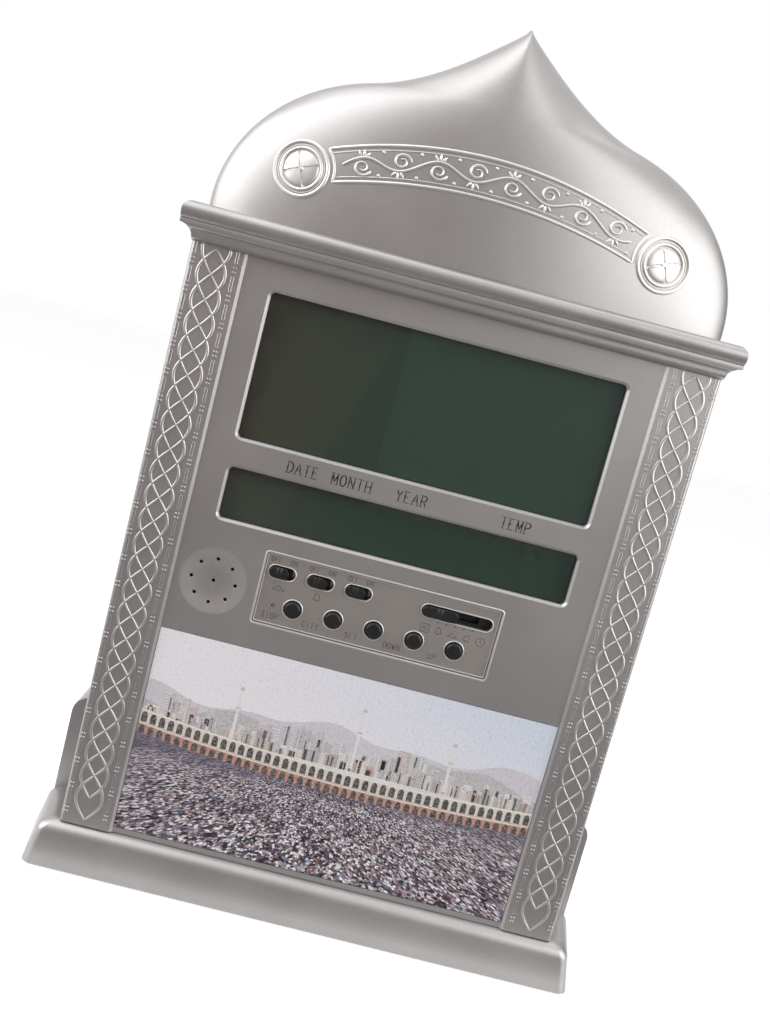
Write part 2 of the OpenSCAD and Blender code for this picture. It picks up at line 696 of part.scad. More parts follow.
module rear_cover() {
    color(silver) difference() {
        union() {
            difference() {
                union() {
                    tray(0, 18, 1, y_part, 1);
                    foot(0);
                }
                tray(wall, 12, 0.86, y_part - 1, wall);
                // The foot is open to the front between the side walls and closed beyond them
                foot_cavity();
            }
            for (p = rear_screws) rod(p.x, p.y, post_r + 1.4, y_part, (p.y < foot_h ? y_foot : y_back) - wall + 0.5);
            box([-bay_x - bay_wall, y_bay - bay_wall, bay_z0 - bay_wall],
                [bay_x + bay_wall, y_foot - wall + 0.5, bay_z1 + bay_wall]);
            box([-door_x - 1.6, y_ledge - 1.8, door_z0 - 1.2], [door_x + 1.6, y_foot - wall + 0.5, door_z1 + 1.6]);
        }
        for (p = rear_screws) {
            rod(p.x, p.y, screw_r + 0.25, y_part - 1, y_part + wall + 1);
            rod(p.x, p.y, head_r + 0.6, y_part + wall, y_foot + 1);
        }
        // Battery bay, the door's seat and the notches for the door's feet
        box([-bay_x, y_bay, bay_z0], [bay_x, y_foot + 1, bay_z1]);
        box([-door_x - fit, y_ledge, door_z0 - fit], [door_x + fit, y_foot + 1, door_z1 + fit]);
        for (x = door_tabs) {
            half_w = door_tab_w / 2 + 0.4;
            box([x - half_w, y_foot - 6.2, door_z0 - 1], [x + half_w, y_foot - 3.6, bay_z0 + 1]);
            box([x - half_w, y_foot - 4, door_z0 + 0.9], [x + half_w, y_foot, bay_z0 + 1]);
        }
        // Slots that let the contact plates through the bay's floor
        for (z = cell_zs) box([bay_x - 0.5, y_bay - bay_wall - 1, z - 2.2], [bay_x + 0.4, y_bay + 1, z + 2.2]);
        // Keyhole for hanging on a wall screw
        rod(0, z_tip - keyhole_drop, keyhole_r, y_back - 6, y_back + 1);
        front_prism(y_back - 6, y_back + 1) {
            translate([-keyhole_neck_w / 2, z_tip - keyhole_drop]) square([keyhole_neck_w, keyhole_neck_l]);
            translate([0, z_tip - keyhole_drop + keyhole_neck_l]) circle(r = keyhole_neck_w / 2);
        }
    }
}

// Hollow of the foot: its front stays open as far out as the plinth's inside
module foot_cavity() {
    intersection() {
        foot(wall);
        union() {
            box([-foot_x, y_part + wall, 0], [foot_x, y_foot, foot_h]);
            box([wall - body_x, y_part - 1, 0], [body_x - wall, y_foot, foot_h]);
        }
    }
}

module battery_door() {
    latch_w = 14;
    color(silver) {
        difference() {
            box([-door_x, y_door, door_z0], [door_x, y_foot, door_z1]);
            // Grip grooves and the finger notch over the latch
            for (i = [0:5]) box([-9, y_foot - 0.5, door_z1 - 9 - 1.8 * i], [9, y_foot + 1, door_z1 - 8.1 - 1.8 * i]);
            front_prism(y_door - 1, y_foot + 1) rounded(-latch_w / 2, door_z1 - 4, latch_w / 2, door_z1 + 3, 1.2);
        }
        // Thin snap tongue in the notch, with a ridge for the fingertip
        box([2 - latch_w / 2, y_door, door_z1 - 4.2], [latch_w / 2 - 2, y_door + 0.8, door_z1]);
        box([2 - latch_w / 2, y_door, door_z1 - 1.8], [latch_w / 2 - 2, y_foot - 0.2, door_z1 - 0.8]);
        // Feet that hook behind the seat's lower ledge
        for (x = door_tabs) {
            box([x - door_tab_w / 2, y_foot - 5.4, door_z0 + 1.2], [x + door_tab_w / 2, y_door + eps, door_z0 + 2.5]);
            box([x - door_tab_w / 2, y_foot - 5.4, door_z0 + 0.3], [x + door_tab_w / 2, y_foot - 4.2, door_z0 + 2.5]);
        }
    }
}

// ---------------------------------------------------------------- displays

module window_lens(w) {
    color([0.75, 0.8, 0.8, 0.35])
        box([-glass_x, y_inner, w[0] - glass_edge], [glass_x, y_lens, w[1] + glass_edge]);
}

module display_glass(w) {
    color([0.2, 0.27, 0.24])
        box([-glass_x, y_glass0, w[0] - glass_edge], [glass_x, y_glass1, w[1] + glass_edge]);
}

module upper_lens() { window_lens(windows[0]); }
module lower_lens() { window_lens(windows[1]); }
module upper_display_glass() { display_glass(windows[0]); }
module lower_display_glass() { display_glass(windows[1]); }

module display_frame() {
    pocket = glass_edge + fit;
    color(dark) difference() {
        box([-frame_x, y_inner, frame_z0], [frame_x, y_board, frame_z1]);
        for (w = windows)
            box([-glass_x - fit, y_inner - 1, w[0] - pocket], [glass_x + fit, y_board + 1, w[1] + pocket]);
    }
}

// Rubber contact strips along the long edges of both glasses
module contact_strips() {
    color([0.85, 0.5, 0.55]) for (w = windows, z = [w[0] - glass_edge + 0.2, w[1] + glass_edge - 2])
        box([-glass_x + 5, y_glass1, z], [glass_x - 5, y_board, z + 1.8]);
}

module light_guides() {
    color([0.92, 0.93, 0.94]) for (w = windows)
        box([3.4 - glass_x, y_glass1 + 0.2, w[0] - glass_edge + 2.3],
            [glass_x - 3.4, y_board - 0.6, w[1] + glass_edge - 2.3]);
}

module backlight_leds() {
    color([0.95, 0.93, 0.8]) for (w = windows, s = [-1, 1]) translate([s * (glass_x - 1.7), 0, (w[0] + w[1]) / 2])
        box([-1.2, y_board - 2, -2], [1.2, y_board, 2]);
}

module main_board() {
    color(board_green) difference() {
        box([-board_x, y_board, board_z0], [board_x, y_board_back, board_z1]);
        for (x = [-board_post_x, board_post_x], z = board_post_zs)
            rod(x, z, small_screw_r + 0.2, y_board - 1, y_board_back + 1);
    }
}

// Round black drops of resin over the clock's and the voice's chips
module chip_blobs() {
    blob_r = 8;
    blob_h = 2;
    color(dark) for (x = [-18, 16]) translate([x, y_board_back, upper_z0 + 18]) rotate([-90, 0, 0]) rotate_extrude()
        polygon(concat([[0, 0]], [for (a = [0:15:90]) [blob_r * cos(a), blob_h * sin(a)]]));
}

// Two electrolytic capacitors, the crystal and a memory chip
module board_components() {
    color([0.25, 0.27, 0.32]) {
        for (x = [38, 47]) rod(x, upper_z0 + 30, 3.15, y_board_back, y_board_back + 7);
        rod(-38, upper_z0 + 10, 1.5, y_board_back, y_board_back + 6);
        box([-4, y_board_back, upper_z0 - 12], [4, y_board_back + 1.6, upper_z0 - 6]);
    }
}

connector_z = board_z0 + 3;
speaker_plug_x = -46;
battery_plug_x = 46;

module wire_connectors() {
    color([0.93, 0.91, 0.84]) for (x = [speaker_plug_x, battery_plug_x]) difference() {
        box([x - 4, y_board_back, connector_z], [x + 4, y_board_back + 4.6, connector_z + 6]);
        box([x - 3.2, y_board_back + 1, connector_z - 1], [x + 3.2, y_board_back + 3.8, connector_z + 4]);
    }
}

// Temperature sensor: a resin bead on the board's lower edge with its two legs
module temperature_sensor() {
    x = board_post_x - 7.6;
    color([0.2, 0.2, 0.22]) {
        translate([x, y_board_back + 3, board_z0 - 8]) sphere(r = 1.6, $fn = 32);
        for (s = [-0.8, 0.8]) {
            translate([x + s, y_board_back + 3, board_z0 - 7.5]) cylinder(r = 0.25, h = 12);
            box([x + s - 0.25, y_board_back, board_z0 + 4], [x + s + 0.25, y_board_back + 3, board_z0 + 4.5]);
        }
    }
}

module board_screws() {
    color(steel) for (x = [-board_post_x, board_post_x], z = board_post_zs)
        translate([x, y_board_back, z]) screw(small_screw_r, 6.5, 2.1, 1.4);
}

// ---------------------------------------------------------------- controls

module control_plate() {
    color([0.75, 0.74, 0.73]) difference() {
        front_prism(y_recess - plate_t, y_recess) rounded(-control_w / 2 + fit, control_z0 + fit,
            control_w / 2 - fit, control_z1 - fit, 0.6);
        knob_slots(y_panel, y_recess + 1);
        button_holes(y_panel, y_recess + 1);
    }
}

module key_board() {
    color(board_green) difference() {
        box([-key_board_x, y_board, key_board_z0], [key_board_x, y_board_back, key_board_z1]);
        for (p = key_posts) rod(p.x, p.y, small_screw_r + 0.2, y_board - 1, y_board_back + 1);
    }
}

module key_board_screws() {
    color(steel) for (p = key_posts) translate([p.x, y_board_back, p.y]) screw(small_screw_r, 5.6, 2.1, 1.4);
}

// Flat cable that loops from the key board up to the main board
module ribbon_cable() {
    arch_r = 3;
    z = (key_board_z1 + board_z0) / 2;
    color([0.85, 0.83, 0.78]) intersection() {
        side_prism(18) difference() {
            translate([y_board_back, z]) circle(r = arch_r);
            translate([y_board_back, z]) circle(r = arch_r - 0.4);
        }
        box([-20, y_board_back, z - 5], [20, y_board_back + 5, z + 5]);
    }
}

// Knob of a slide switch: ribbed cap in its slot, flange behind the wall, stem into the switch
module slide_knob(x, w) {
    cap_h = slot_h - 0.6;
    stem_w = 3;
    color(dark) difference() {
        union() {
            front_prism(y_control, y_flange + eps) stadium(x - w / 2, x + w / 2, knob_z, cap_h);
            box([x - w / 2 - 1, y_flange, knob_z - slot_h / 2 - 0.7],
                [x + w / 2 + 1, y_flange_back, knob_z + slot_h / 2 + 0.7]);
            box([x - stem_w / 2, y_flange, knob_z - 1.1], [x + stem_w / 2, y_flange_back + 2, knob_z + 1.1]);
        }
        for (dx = [-knob_rib, knob_rib]) translate([x + dx, y_control, knob_z])
            rotate([0, 0, 45]) cube([0.5, 0.5, slot_h], center = true);
    }
}

module left_slide_knob() { slide_knob(knob_xs[0] - knob_travel / 2, knob_w); }
module middle_slide_knob() { slide_knob(knob_xs[1] - knob_travel / 2, knob_w); }
module right_slide_knob() { slide_knob(knob_xs[2] - knob_travel / 2, knob_w); }
module selector_knob() { slide_knob(selector_x - selector_travel / 2, selector_w); }

// Case of a slide switch with the opening that its knob's stem runs in
module switch_case(x, w, travel) {
    color(steel) difference() {
        box([x - w / 2, y_switch, knob_z - switch_h / 2], [x + w / 2, y_board, knob_z + switch_h / 2]);
        box([x - 1.8 - travel / 2, y_switch - 1, knob_z - 1.4],
            [x + 1.8 + travel / 2, y_switch + 2.4, knob_z + 1.4]);
    }
}

module slide_switch_bodies() {
    for (x = knob_xs) switch_case(x, switch_w, knob_travel);
}

module selector_switch_body() {
    switch_case(selector_x, selector_slot_w + 5.8, selector_travel);
}

// Button cap with a flange that keeps it behind the wall
module button(x) {
    color(dark) {
        rod(x, button_z, button_r - 0.4, y_control, y_control + 0.5);
        rod(x, button_z, button_r, y_control + 0.4, y_flange + eps);
        rod(x, button_z, button_r + button_gap + 1, y_flange, y_flange_back);
    }
}

module stop_button() { button(button_xs[0]); }
module city_button() { button(button_xs[1]); }
module set_button() { button(button_xs[2]); }
module down_button() { button(button_xs[3]); }
module up_button() { button(button_xs[4]); }

plunger_r = 1.6;
plunger_in = 0.8;

module plunger(x) {
    color([0.8, 0.78, 0.72]) rod(x, button_z, plunger_r, y_flange_back, y_tact + plunger_in);
}

module stop_plunger() { plunger(button_xs[0]); }
module city_plunger() { plunger(button_xs[1]); }
module set_plunger() { plunger(button_xs[2]); }
module down_plunger() { plunger(button_xs[3]); }
module up_plunger() { plunger(button_xs[4]); }

module key_switch_bodies() {
    color(steel) for (x = button_xs) difference() {
        box([x - 3, y_tact, button_z - 3], [x + 3, y_board, button_z + 3]);
        rod(x, button_z, plunger_r + 0.3, y_tact - 1, y_tact + plunger_in + button_travel + 0.3);
    }
}

// ---------------------------------------------------------------- loudspeaker

module speaker_turned() {
    translate([speaker_x, y_speaker, speaker_z]) rotate([-90, 0, 0]) rotate_extrude($fn = 96) children();
}

module speaker_gasket() {
    color([0.15, 0.15, 0.16]) difference() {
        rod(speaker_x, speaker_z, speaker_r, y_gasket, y_speaker);
        rod(speaker_x, speaker_z, speaker_r - 1.6, y_gasket - 1, y_speaker + 1);
    }
}

module speaker_basket() {
    r = speaker_r;
    color(steel) speaker_turned() polygon([[r, 0], [r, 1], [r - 2, 1], [r * 0.6, speaker_depth], [0, speaker_depth],
        [0, speaker_depth - 0.7], [r * 0.6 - 0.5, speaker_depth - 0.7], [r - 2.7, 0.7], [r - 2.7, 0]]);
}

module speaker_cone() {
    r = speaker_r - 2.72;
    color([0.3, 0.29, 0.28]) speaker_turned() polygon([[r, 0.1], [r, 0.5], [r - 0.8, 0.5], [r * 0.34, 3], [0, 3],
        [0, 2.5], [r * 0.28, 2.5], [r - 1.3, 0.1]]);
}

module speaker_magnet() {
    color([0.35, 0.35, 0.37]) rod(speaker_x, speaker_z, speaker_r * 0.52, y_magnet - 4, y_magnet);
}

// Flat ring with two ears that presses the loudspeaker into its seat
module speaker_clamp() {
    color(dark) difference() {
        front_prism(y_speaker_back, y_speaker_back + 1.2) difference() {
            union() {
                translate([speaker_x, speaker_z]) circle(r = speaker_r + fit);
                translate([speaker_x, speaker_z]) rotate(45) square([5.2, 2 * speaker_r + 8], center = true);
                for (p = speaker_ears) translate(p) circle(r = 2.6);
            }
            translate([speaker_x, speaker_z]) circle(r = speaker_r - 1.8);
        }
        for (p = speaker_ears) rod(p.x, p.y, small_screw_r + 0.2, y_speaker_back - 1, y_speaker_back + 2);
    }
}

module speaker_screws() {
    color(steel) for (p = speaker_ears) translate([p.x, y_speaker_back + 1.2, p.y])
        screw(small_screw_r, 3.8, 2.1, 1.4);
}

// Routes of the leads: each starts at its contact and ends under its connector
y_plug = y_board_back + 2.3;
speaker_lead_xs = [-1.2, 1.2];
lead_r = 0.55;

module speaker_leads() {
    color([0.75, 0.1, 0.1]) for (s = speaker_lead_xs) tube(concat(
        [[speaker_x + 2 * s, y_magnet, speaker_z + 3]], smooth([[speaker_x + 2 * s, y_magnet + 0.6, speaker_z + 3],
        [speaker_x + 3 + 2 * s, y_magnet + 4 + 0.7 * s, speaker_z + 7],
        [speaker_plug_x + s, y_plug + 3 + 0.7 * s, connector_z - 9],
        [speaker_plug_x + s, y_plug, connector_z - 4], [speaker_plug_x + s, y_plug, connector_z + 3.98]])), lead_r);
}

// ---------------------------------------------------------------- picture and batteries

module picture_card() {
    color([0.72, 0.7, 0.74]) box([-panel_w / 2 + fit, y_panel + 0.1, picture_z0 + fit],
        [panel_w / 2 - fit, y_panel + 0.1 + picture_t, picture_z1 - fit]);
}

// Battery cell along X: side is 1 where its nub points to +X
module cell(z, side) {
    end = bay_x - 0.05 - contact_t;
    color([0.2, 0.35, 0.25]) translate([side * end, y_cell, z]) rotate([0, -90 * side, 0]) {
        cylinder(r = 2.7, h = 1.2);
        translate([0, 0, 1]) cylinder(r = cell_d / 2, h = cell_l - 1);
    }
}

module lower_cell() { cell(cell_zs[0], 1); }
module upper_cell() { cell(cell_zs[1], -1); }

// Coil springs between the cells' flat ends and the contact plates
module contact_springs() {
    r = 3.4;
    sides = 6;
    steps = 14;
    run = spring_l - spring_wire_d - 0.1;
    start = bay_x - 0.05 - contact_t - spring_wire_d / 2 - 0.05;
    echo(least_gap_between_turns = run / spring_turns - spring_wire_d);
    color(steel) for (i = [0, 1]) let (s = i == 0 ? -1 : 1)
        tube([for (k = [0:spring_turns * steps]) let (a = 360 * k / steps)
            [s * (start - run * k / (spring_turns * steps)), y_cell + r * cos(a), cell_zs[i] + r * sin(a)]],
            spring_wire_d / 2, sides);
}

// One bridge at the left and two separate plates at the right, with tabs through the bay's floor
module contact_plates() {
    x = bay_x - 0.05;
    color([0.8, 0.78, 0.7]) {
        box([-x, y_cell - 5, cell_zs[0] - 5], [contact_t - x, y_cell + 5, cell_zs[1] + 5]);
        for (z = cell_zs) {
            box([x - contact_t, y_cell - 5, z - 5], [x, y_cell + 5, z + 5]);
            box([x - contact_t, y_bay - bay_wall - 2.5, z - 1.8], [x, y_cell - 4, z + 1.8]);
        }
    }
}

// Lead from a contact tab up the inside of the housing to the main board
module battery_lead(i, dx) {
    x = bay_x - 0.05;
    y0 = y_bay - bay_wall - 1.8;
    z = cell_zs[i];
    tube(concat([[x, y0, z]], smooth([[x + 1, y0, z], [x + 4, y0, z], [x + 9 + dx, y0 - 1.5, z + 13],
        [x + 16 + dx, y0 - 8, foot_h + 8], [battery_plug_x + 6 + dx, y_plug - 1, foot_h + 35],
        [battery_plug_x + 3 + dx, y_plug - 1, connector_z - 16], [battery_plug_x + dx, y_plug, connector_z - 5],
        [battery_plug_x + dx, y_plug, connector_z + 3.98]])), lead_r);
}

module positive_lead() { color([0.75, 0.1, 0.1]) battery_lead(0, 1.2); }
module negative_lead() { color(dark) battery_lead(1, -1.2); }

// ---------------------------------------------------------------- screws

module rear_cover_screws() {
    color(steel) for (p = rear_screws) translate([p.x, y_part + wall, p.y]) screw(screw_r, screw_l, head_r, head_h);
}

module plinth_screws() {
    color(steel) for (x = plinth_screw_xs) translate([x, plinth_screw_y, plinth_h - wall])
        rotate([-90, 0, 0]) screw(screw_r, 10, head_r, head_h);
}

front_cover();
dome_cover();
plinth();
rear_cover();
battery_door();
upper_lens();
lower_lens();
upper_display_glass();
lower_display_glass();
display_frame();
contact_strips();
light_guides();
backlight_leds();
main_board();
chip_blobs();
board_components();
wire_connectors();
temperature_sensor();
board_screws();
key_board();
key_board_screws();
ribbon_cable();
control_plate();
left_slide_knob();
middle_slide_knob();
right_slide_knob();
selector_knob();
slide_switch_bodies();
selector_switch_body();
stop_button();
city_button();
set_button();
down_button();
up_button();
stop_plunger();
city_plunger();
set_plunger();
down_plunger();
up_plunger();
key_switch_bodies();
speaker_gasket();
speaker_basket();
speaker_cone();
speaker_magnet();
speaker_clamp();
speaker_screws();
speaker_leads();
picture_card();
lower_cell();
upper_cell();
contact_springs();
contact_plates();
positive_lead();
negative_lead();
rear_cover_screws();
plinth_screws();
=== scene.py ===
"""Looks of an azan clock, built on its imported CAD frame.

Laid out as a Blender add-on: sizes and colours are properties of the scene, each group of
pieces has its own operator, and a panel in the 3D view's sidebar lists them.
"""

import functools
import math
import random

import bmesh
import bpy
from bpy.props import FloatProperty, FloatVectorProperty, IntProperty, PointerProperty
from mathutils import Matrix, Vector


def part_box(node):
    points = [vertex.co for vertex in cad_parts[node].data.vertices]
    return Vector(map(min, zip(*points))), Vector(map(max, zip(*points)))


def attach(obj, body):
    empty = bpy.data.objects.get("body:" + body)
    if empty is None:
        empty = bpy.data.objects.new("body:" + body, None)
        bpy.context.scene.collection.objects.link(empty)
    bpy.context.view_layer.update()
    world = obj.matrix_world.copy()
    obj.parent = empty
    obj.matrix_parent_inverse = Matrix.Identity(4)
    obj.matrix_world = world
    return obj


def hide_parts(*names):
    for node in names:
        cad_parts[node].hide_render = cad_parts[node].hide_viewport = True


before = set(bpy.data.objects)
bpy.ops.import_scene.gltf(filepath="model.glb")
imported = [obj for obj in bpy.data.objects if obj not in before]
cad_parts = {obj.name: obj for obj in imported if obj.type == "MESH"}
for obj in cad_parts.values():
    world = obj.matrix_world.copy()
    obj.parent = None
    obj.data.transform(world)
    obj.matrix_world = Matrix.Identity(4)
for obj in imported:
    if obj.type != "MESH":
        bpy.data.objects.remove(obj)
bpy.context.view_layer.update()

bl_info = {
    "name": "Azan clock looks",
    "version": (1, 0, 0),
    "blender": (4, 5, 0),
    "location": "View3D > Sidebar > Azan clock",
    "description": "Builds the silver housing, ornament, displays, controls and picture of an azan clock",
    "category": "Object",
}

MM = 0.001
MERGE_DISTANCE = 3e-6
FLAT_ANGLE, SMOOTH_ANGLE, SHARP_ANGLE = math.radians(0.4), math.radians(38), math.radians(60)


def corners(node):
    """Lowest and highest corner of a CAD node, in millimetres."""
    low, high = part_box(node)
    return low / MM, high / MM


def middle(node):
    """Middle of a CAD node's box, in millimetres."""
    low, high = corners(node)
    return (low + high) / 2


KEYS = ("stop", "city", "set", "down", "up")

# Sizes of the CAD part, in millimetres
CORNICE_PROUD, CORNICE_H, DOME_RIM = 6, 11.4, 11.2
PLATE_FIT, COLUMN_X = 0.2, 77.5

# Places in millimetres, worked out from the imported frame
FRONT_LOW, FRONT_HIGH = corners("front_cover")
DOME_LOW, DOME_HIGH = corners("dome_cover")
PLATE_LOW, PLATE_HIGH = corners("control_plate")
CARD_LOW, CARD_HIGH = corners("picture_card")
BUTTONS = [middle(f"{key}_button") for key in KEYS]
FACE_Y = FRONT_LOW.y + CORNICE_PROUD
PANEL_Y = FACE_Y + 1
DOME_Z, PARTING_Y = DOME_LOW.z, DOME_HIGH.y
DOME_H = DOME_HIGH.z - DOME_Z
RIM_Y = PARTING_Y - DOME_RIM
PLATE_Y = PLATE_LOW.y
CONTROL_X = PLATE_HIGH.x + PLATE_FIT
CONTROL_Z0, CONTROL_Z1 = PLATE_LOW.z - PLATE_FIT, PLATE_HIGH.z + PLATE_FIT
SPEAKER_DISH = (*middle("speaker_gasket").xz, 11.1)


# ---------------------------------------------------------------- sizes and colours


def linear(red, green, blue):
    """A colour as it looks on a screen, from 0 to 255, in the shader's own scale."""
    return tuple((((c / 255) + 0.055) / 1.055) ** 2.4 for c in (red, green, blue))


def colour(name, description, red, green, blue):
    """A colour property whose default is given as it looks on a screen, from 0 to 255."""
    default = linear(red, green, blue)
    return FloatVectorProperty(
        name=name, description=description, subtype="COLOR", size=3, min=0, max=1, default=default
    )


def length(name, description, millimetres):
    """A length property whose default is given in millimetres."""
    return FloatProperty(
        name=name, description=description, unit="LENGTH", min=0, precision=5, default=millimetres * MM
    )


class ClockSizes(bpy.types.PropertyGroup):
    edge_bevel: length("Edge bevel", "Width of the softened edges of the housing", 0.28)
    key_bevel: length("Key bevel", "Width of the softened edges of the keys and knobs", 0.45)
    strand_width: length("Strand width", "Width of a strand of the interlace on the columns", 0.95)
    strand_height: length("Strand height", "Height of a strand of the interlace above the column", 0.4)
    braid_reach: length("Braid reach", "Half width of the interlace", 4.45)
    braid_pitch: length("Braid pitch", "Height between two crossings of the interlace", 8.06)
    bead_width: length("Bead width", "Width of the thin lines beside the interlace", 0.46)
    bead_pitch: length("Bead pitch", "Height of one dash with its two rows of dots", 8.857)
    border_width: length("Border width", "Width of the band's border on the dome", 1.15)
    border_height: length("Border height", "Height of the band's border above the dome", 0.42)
    scroll_width: length("Scroll width", "Width of the scrolls inside the band", 1.15)
    medallion_radius: length("Medallion radius", "Radius of the outer ring of a medallion", 8.9)
    letter_height: length("Letter height", "Height of the letters under the large display", 3.6)
    print_height: length("Print thickness", "How far printed letters stand proud of the surface", 0.03)
    scroll_count: IntProperty(
        name="Scrolls", description="Scrolls in the band on the dome", default=8, min=2, max=12
    )


class ClockColours(bpy.types.PropertyGroup):
    silver: colour("Silver paint", "Satin silver paint of the housing", 172, 169, 168)
    # Lighter silver for the raised ornament and rims: its lightness is a painted highlight, not another
    # paint
    bright: colour("Raised silver", "Silver paint on the raised ornament", 214, 212, 208)
    letters: colour("Lettering", "Ink of the printed letters and signs", 34, 30, 30)
    plate: colour("Control plate", "Satin film on the control recess", 160, 154, 150)
    glass: colour("Display glass", "Grey-green of the unlit displays", 30, 53, 43)
    # Warmer, lighter grey of a painted reflection at the left of the displays
    glass_reflection: colour("Display glass, warm", "Warmer grey at the left of the displays", 52, 56, 45)
    black: colour("Keys and knobs", "Black plastic of the buttons and knobs", 24, 24, 26)
    sky: colour("Sky", "Sky of the picture at the right", 198, 207, 222)
    haze: colour("Haze", "Sky of the picture at the left", 228, 222, 226)
    blossom: colour("Blossom", "Light flowers of the picture", 233, 228, 232)
    heather: colour("Heather", "Violet flowers of the picture", 122, 106, 116)
    soil: colour("Soil", "Dark gaps between the flowers", 30, 25, 29)


def sizes():
    return bpy.context.scene.clock_sizes


def colours():
    return bpy.context.scene.clock_colours


# ---------------------------------------------------------------- shader maths


class Wire:
    """One output of a shader node. Python's own arithmetic on it adds Math nodes."""

    def __init__(self, recipe, socket):
        self.recipe = recipe
        self.socket = socket

    def math(self, operation, *values):
        return self.recipe.add("ShaderNodeMath", {"operation": operation}, dict(enumerate(values)))

    def __add__(self, other):
        return self.math("ADD", self, other)

    def __radd__(self, other):
        return self.math("ADD", other, self)

    def __sub__(self, other):
        return self.math("SUBTRACT", self, other)

    def __rsub__(self, other):
        return self.math("SUBTRACT", other, self)

    def __mul__(self, other):
        return self.math("MULTIPLY", self, other)

    def __rmul__(self, other):
        return self.math("MULTIPLY", other, self)

    def __truediv__(self, other):
        return self.math("DIVIDE", self, other)

    def __rtruediv__(self, other):
        return self.math("DIVIDE", other, self)

    def __gt__(self, other):
        return self.math("GREATER_THAN", self, other)

    def __lt__(self, other):
        return self.math("LESS_THAN", self, other)

    def __mod__(self, other):
        return self.math("FLOORED_MODULO", self, other)

    def __abs__(self):
        return self.math("ABSOLUTE", self)

    def between(self, low, high):
        """Smooth step from 0 at low to 1 at high."""
        sockets = {"Value": self, "From Min": low, "From Max": high}
        return self.recipe.add("ShaderNodeMapRange", {"interpolation_type": "SMOOTHSTEP"}, sockets)


class Nodes:
    """The nodes of one material or world. Every node comes from add."""

    def __init__(self, owner):
        owner.use_nodes = True
        self.tree = owner.node_tree
        self.tree.nodes.clear()

    def add(self, kind, settings=None, sockets=None, out=0):
        node = self.tree.nodes.new(kind)
        for key, value in (settings or {}).items():
            if key == "stops":
                ramp = node.color_ramp
                while len(ramp.elements) < len(value):
                    ramp.elements.new(1)
                for element, (place, tone) in zip(ramp.elements, value):
                    element.position = place
                    element.color = (*tone, 1)
            else:
                setattr(node, key, value)
        for key, value in (sockets or {}).items():
            self.feed(node.inputs[key], value)
        return Wire(self, node.outputs[out]) if node.outputs else Wire(self, node.inputs[0])

    def feed(self, socket, value):
        if isinstance(value, Wire):
            self.tree.links.new(value.socket, socket)
        elif socket.type == "RGBA":
            socket.default_value = (*value[:3], 1)
        else:
            socket.default_value = value

    def ray(self, kind):
        """1 for light rays of a kind, such as Camera, and 0 for the others."""
        return self.add("ShaderNodeLightPath", out=f"Is {kind} Ray")

    def seen(self):
        """1 where the camera looks, straight, in a reflection or through a window."""
        total = self.ray("Camera") + self.ray("Glossy") + self.ray("Transmission")
        return total.math("MINIMUM", total, 1.0)


class Recipe(Nodes):
    """The nodes of one material."""

    def __init__(self, name, **shader):
        self.material = bpy.data.materials.new(name)
        super().__init__(self.material)
        sockets = {key.replace("_", " "): value for key, value in shader.items()}
        self.shader = self.add("ShaderNodeBsdfPrincipled", {}, sockets)
        self.surface = self.add("ShaderNodeOutputMaterial", {}, {"Surface": self.shader}).socket

    def set(self, **shader):
        for key, value in shader.items():
            self.feed(self.shader.socket.node.inputs[key.replace("_", " ")], value)

    def show(self, shader):
        """Puts another shader on the surface."""
        self.feed(self.surface, shader)

    def place(self):
        """Position on the object in millimetres, as a vector."""
        here = self.add("ShaderNodeTexCoord", out="Object")
        return self.add("ShaderNodeVectorMath", {"operation": "SCALE"}, {0: here, "Scale": 1 / MM})

    def split(self, vector):
        node = self.add("ShaderNodeSeparateXYZ", {}, {0: vector}).socket.node
        return [Wire(self, output) for output in node.outputs]

    def join(self, x, y, z=0.0):
        return self.add("ShaderNodeCombineXYZ", {}, {0: x, 1: y, 2: z})

    def noise(self, place, scale, detail=2.0, roughness=0.5):
        sockets = {"Vector": place, "Scale": scale, "Detail": detail, "Roughness": roughness}
        return self.add("ShaderNodeTexNoise", {}, sockets)

    def cells(self, place, scale, feature="F1", out="Color"):
        sockets = {"Vector": place, "Scale": scale}
        return self.add("ShaderNodeTexVoronoi", {"feature": feature}, sockets, out)

    def mix(self, factor, a, b, blend="MIX"):
        settings = {"data_type": "RGBA", "blend_type": blend}
        return self.add("ShaderNodeMix", settings, {0: factor, 6: a, 7: b}, out=2)

    def bump(self, height, distance):
        """Raises the surface by height times distance in metres."""
        sockets = {"Height": height, "Distance": distance, "Strength": 1.0}
        self.set(Normal=self.add("ShaderNodeBump", {}, sockets))


def shade(tone, share):
    """A darker or lighter tone of a colour."""
    return tuple(min(1.0, v * share) for v in tone)


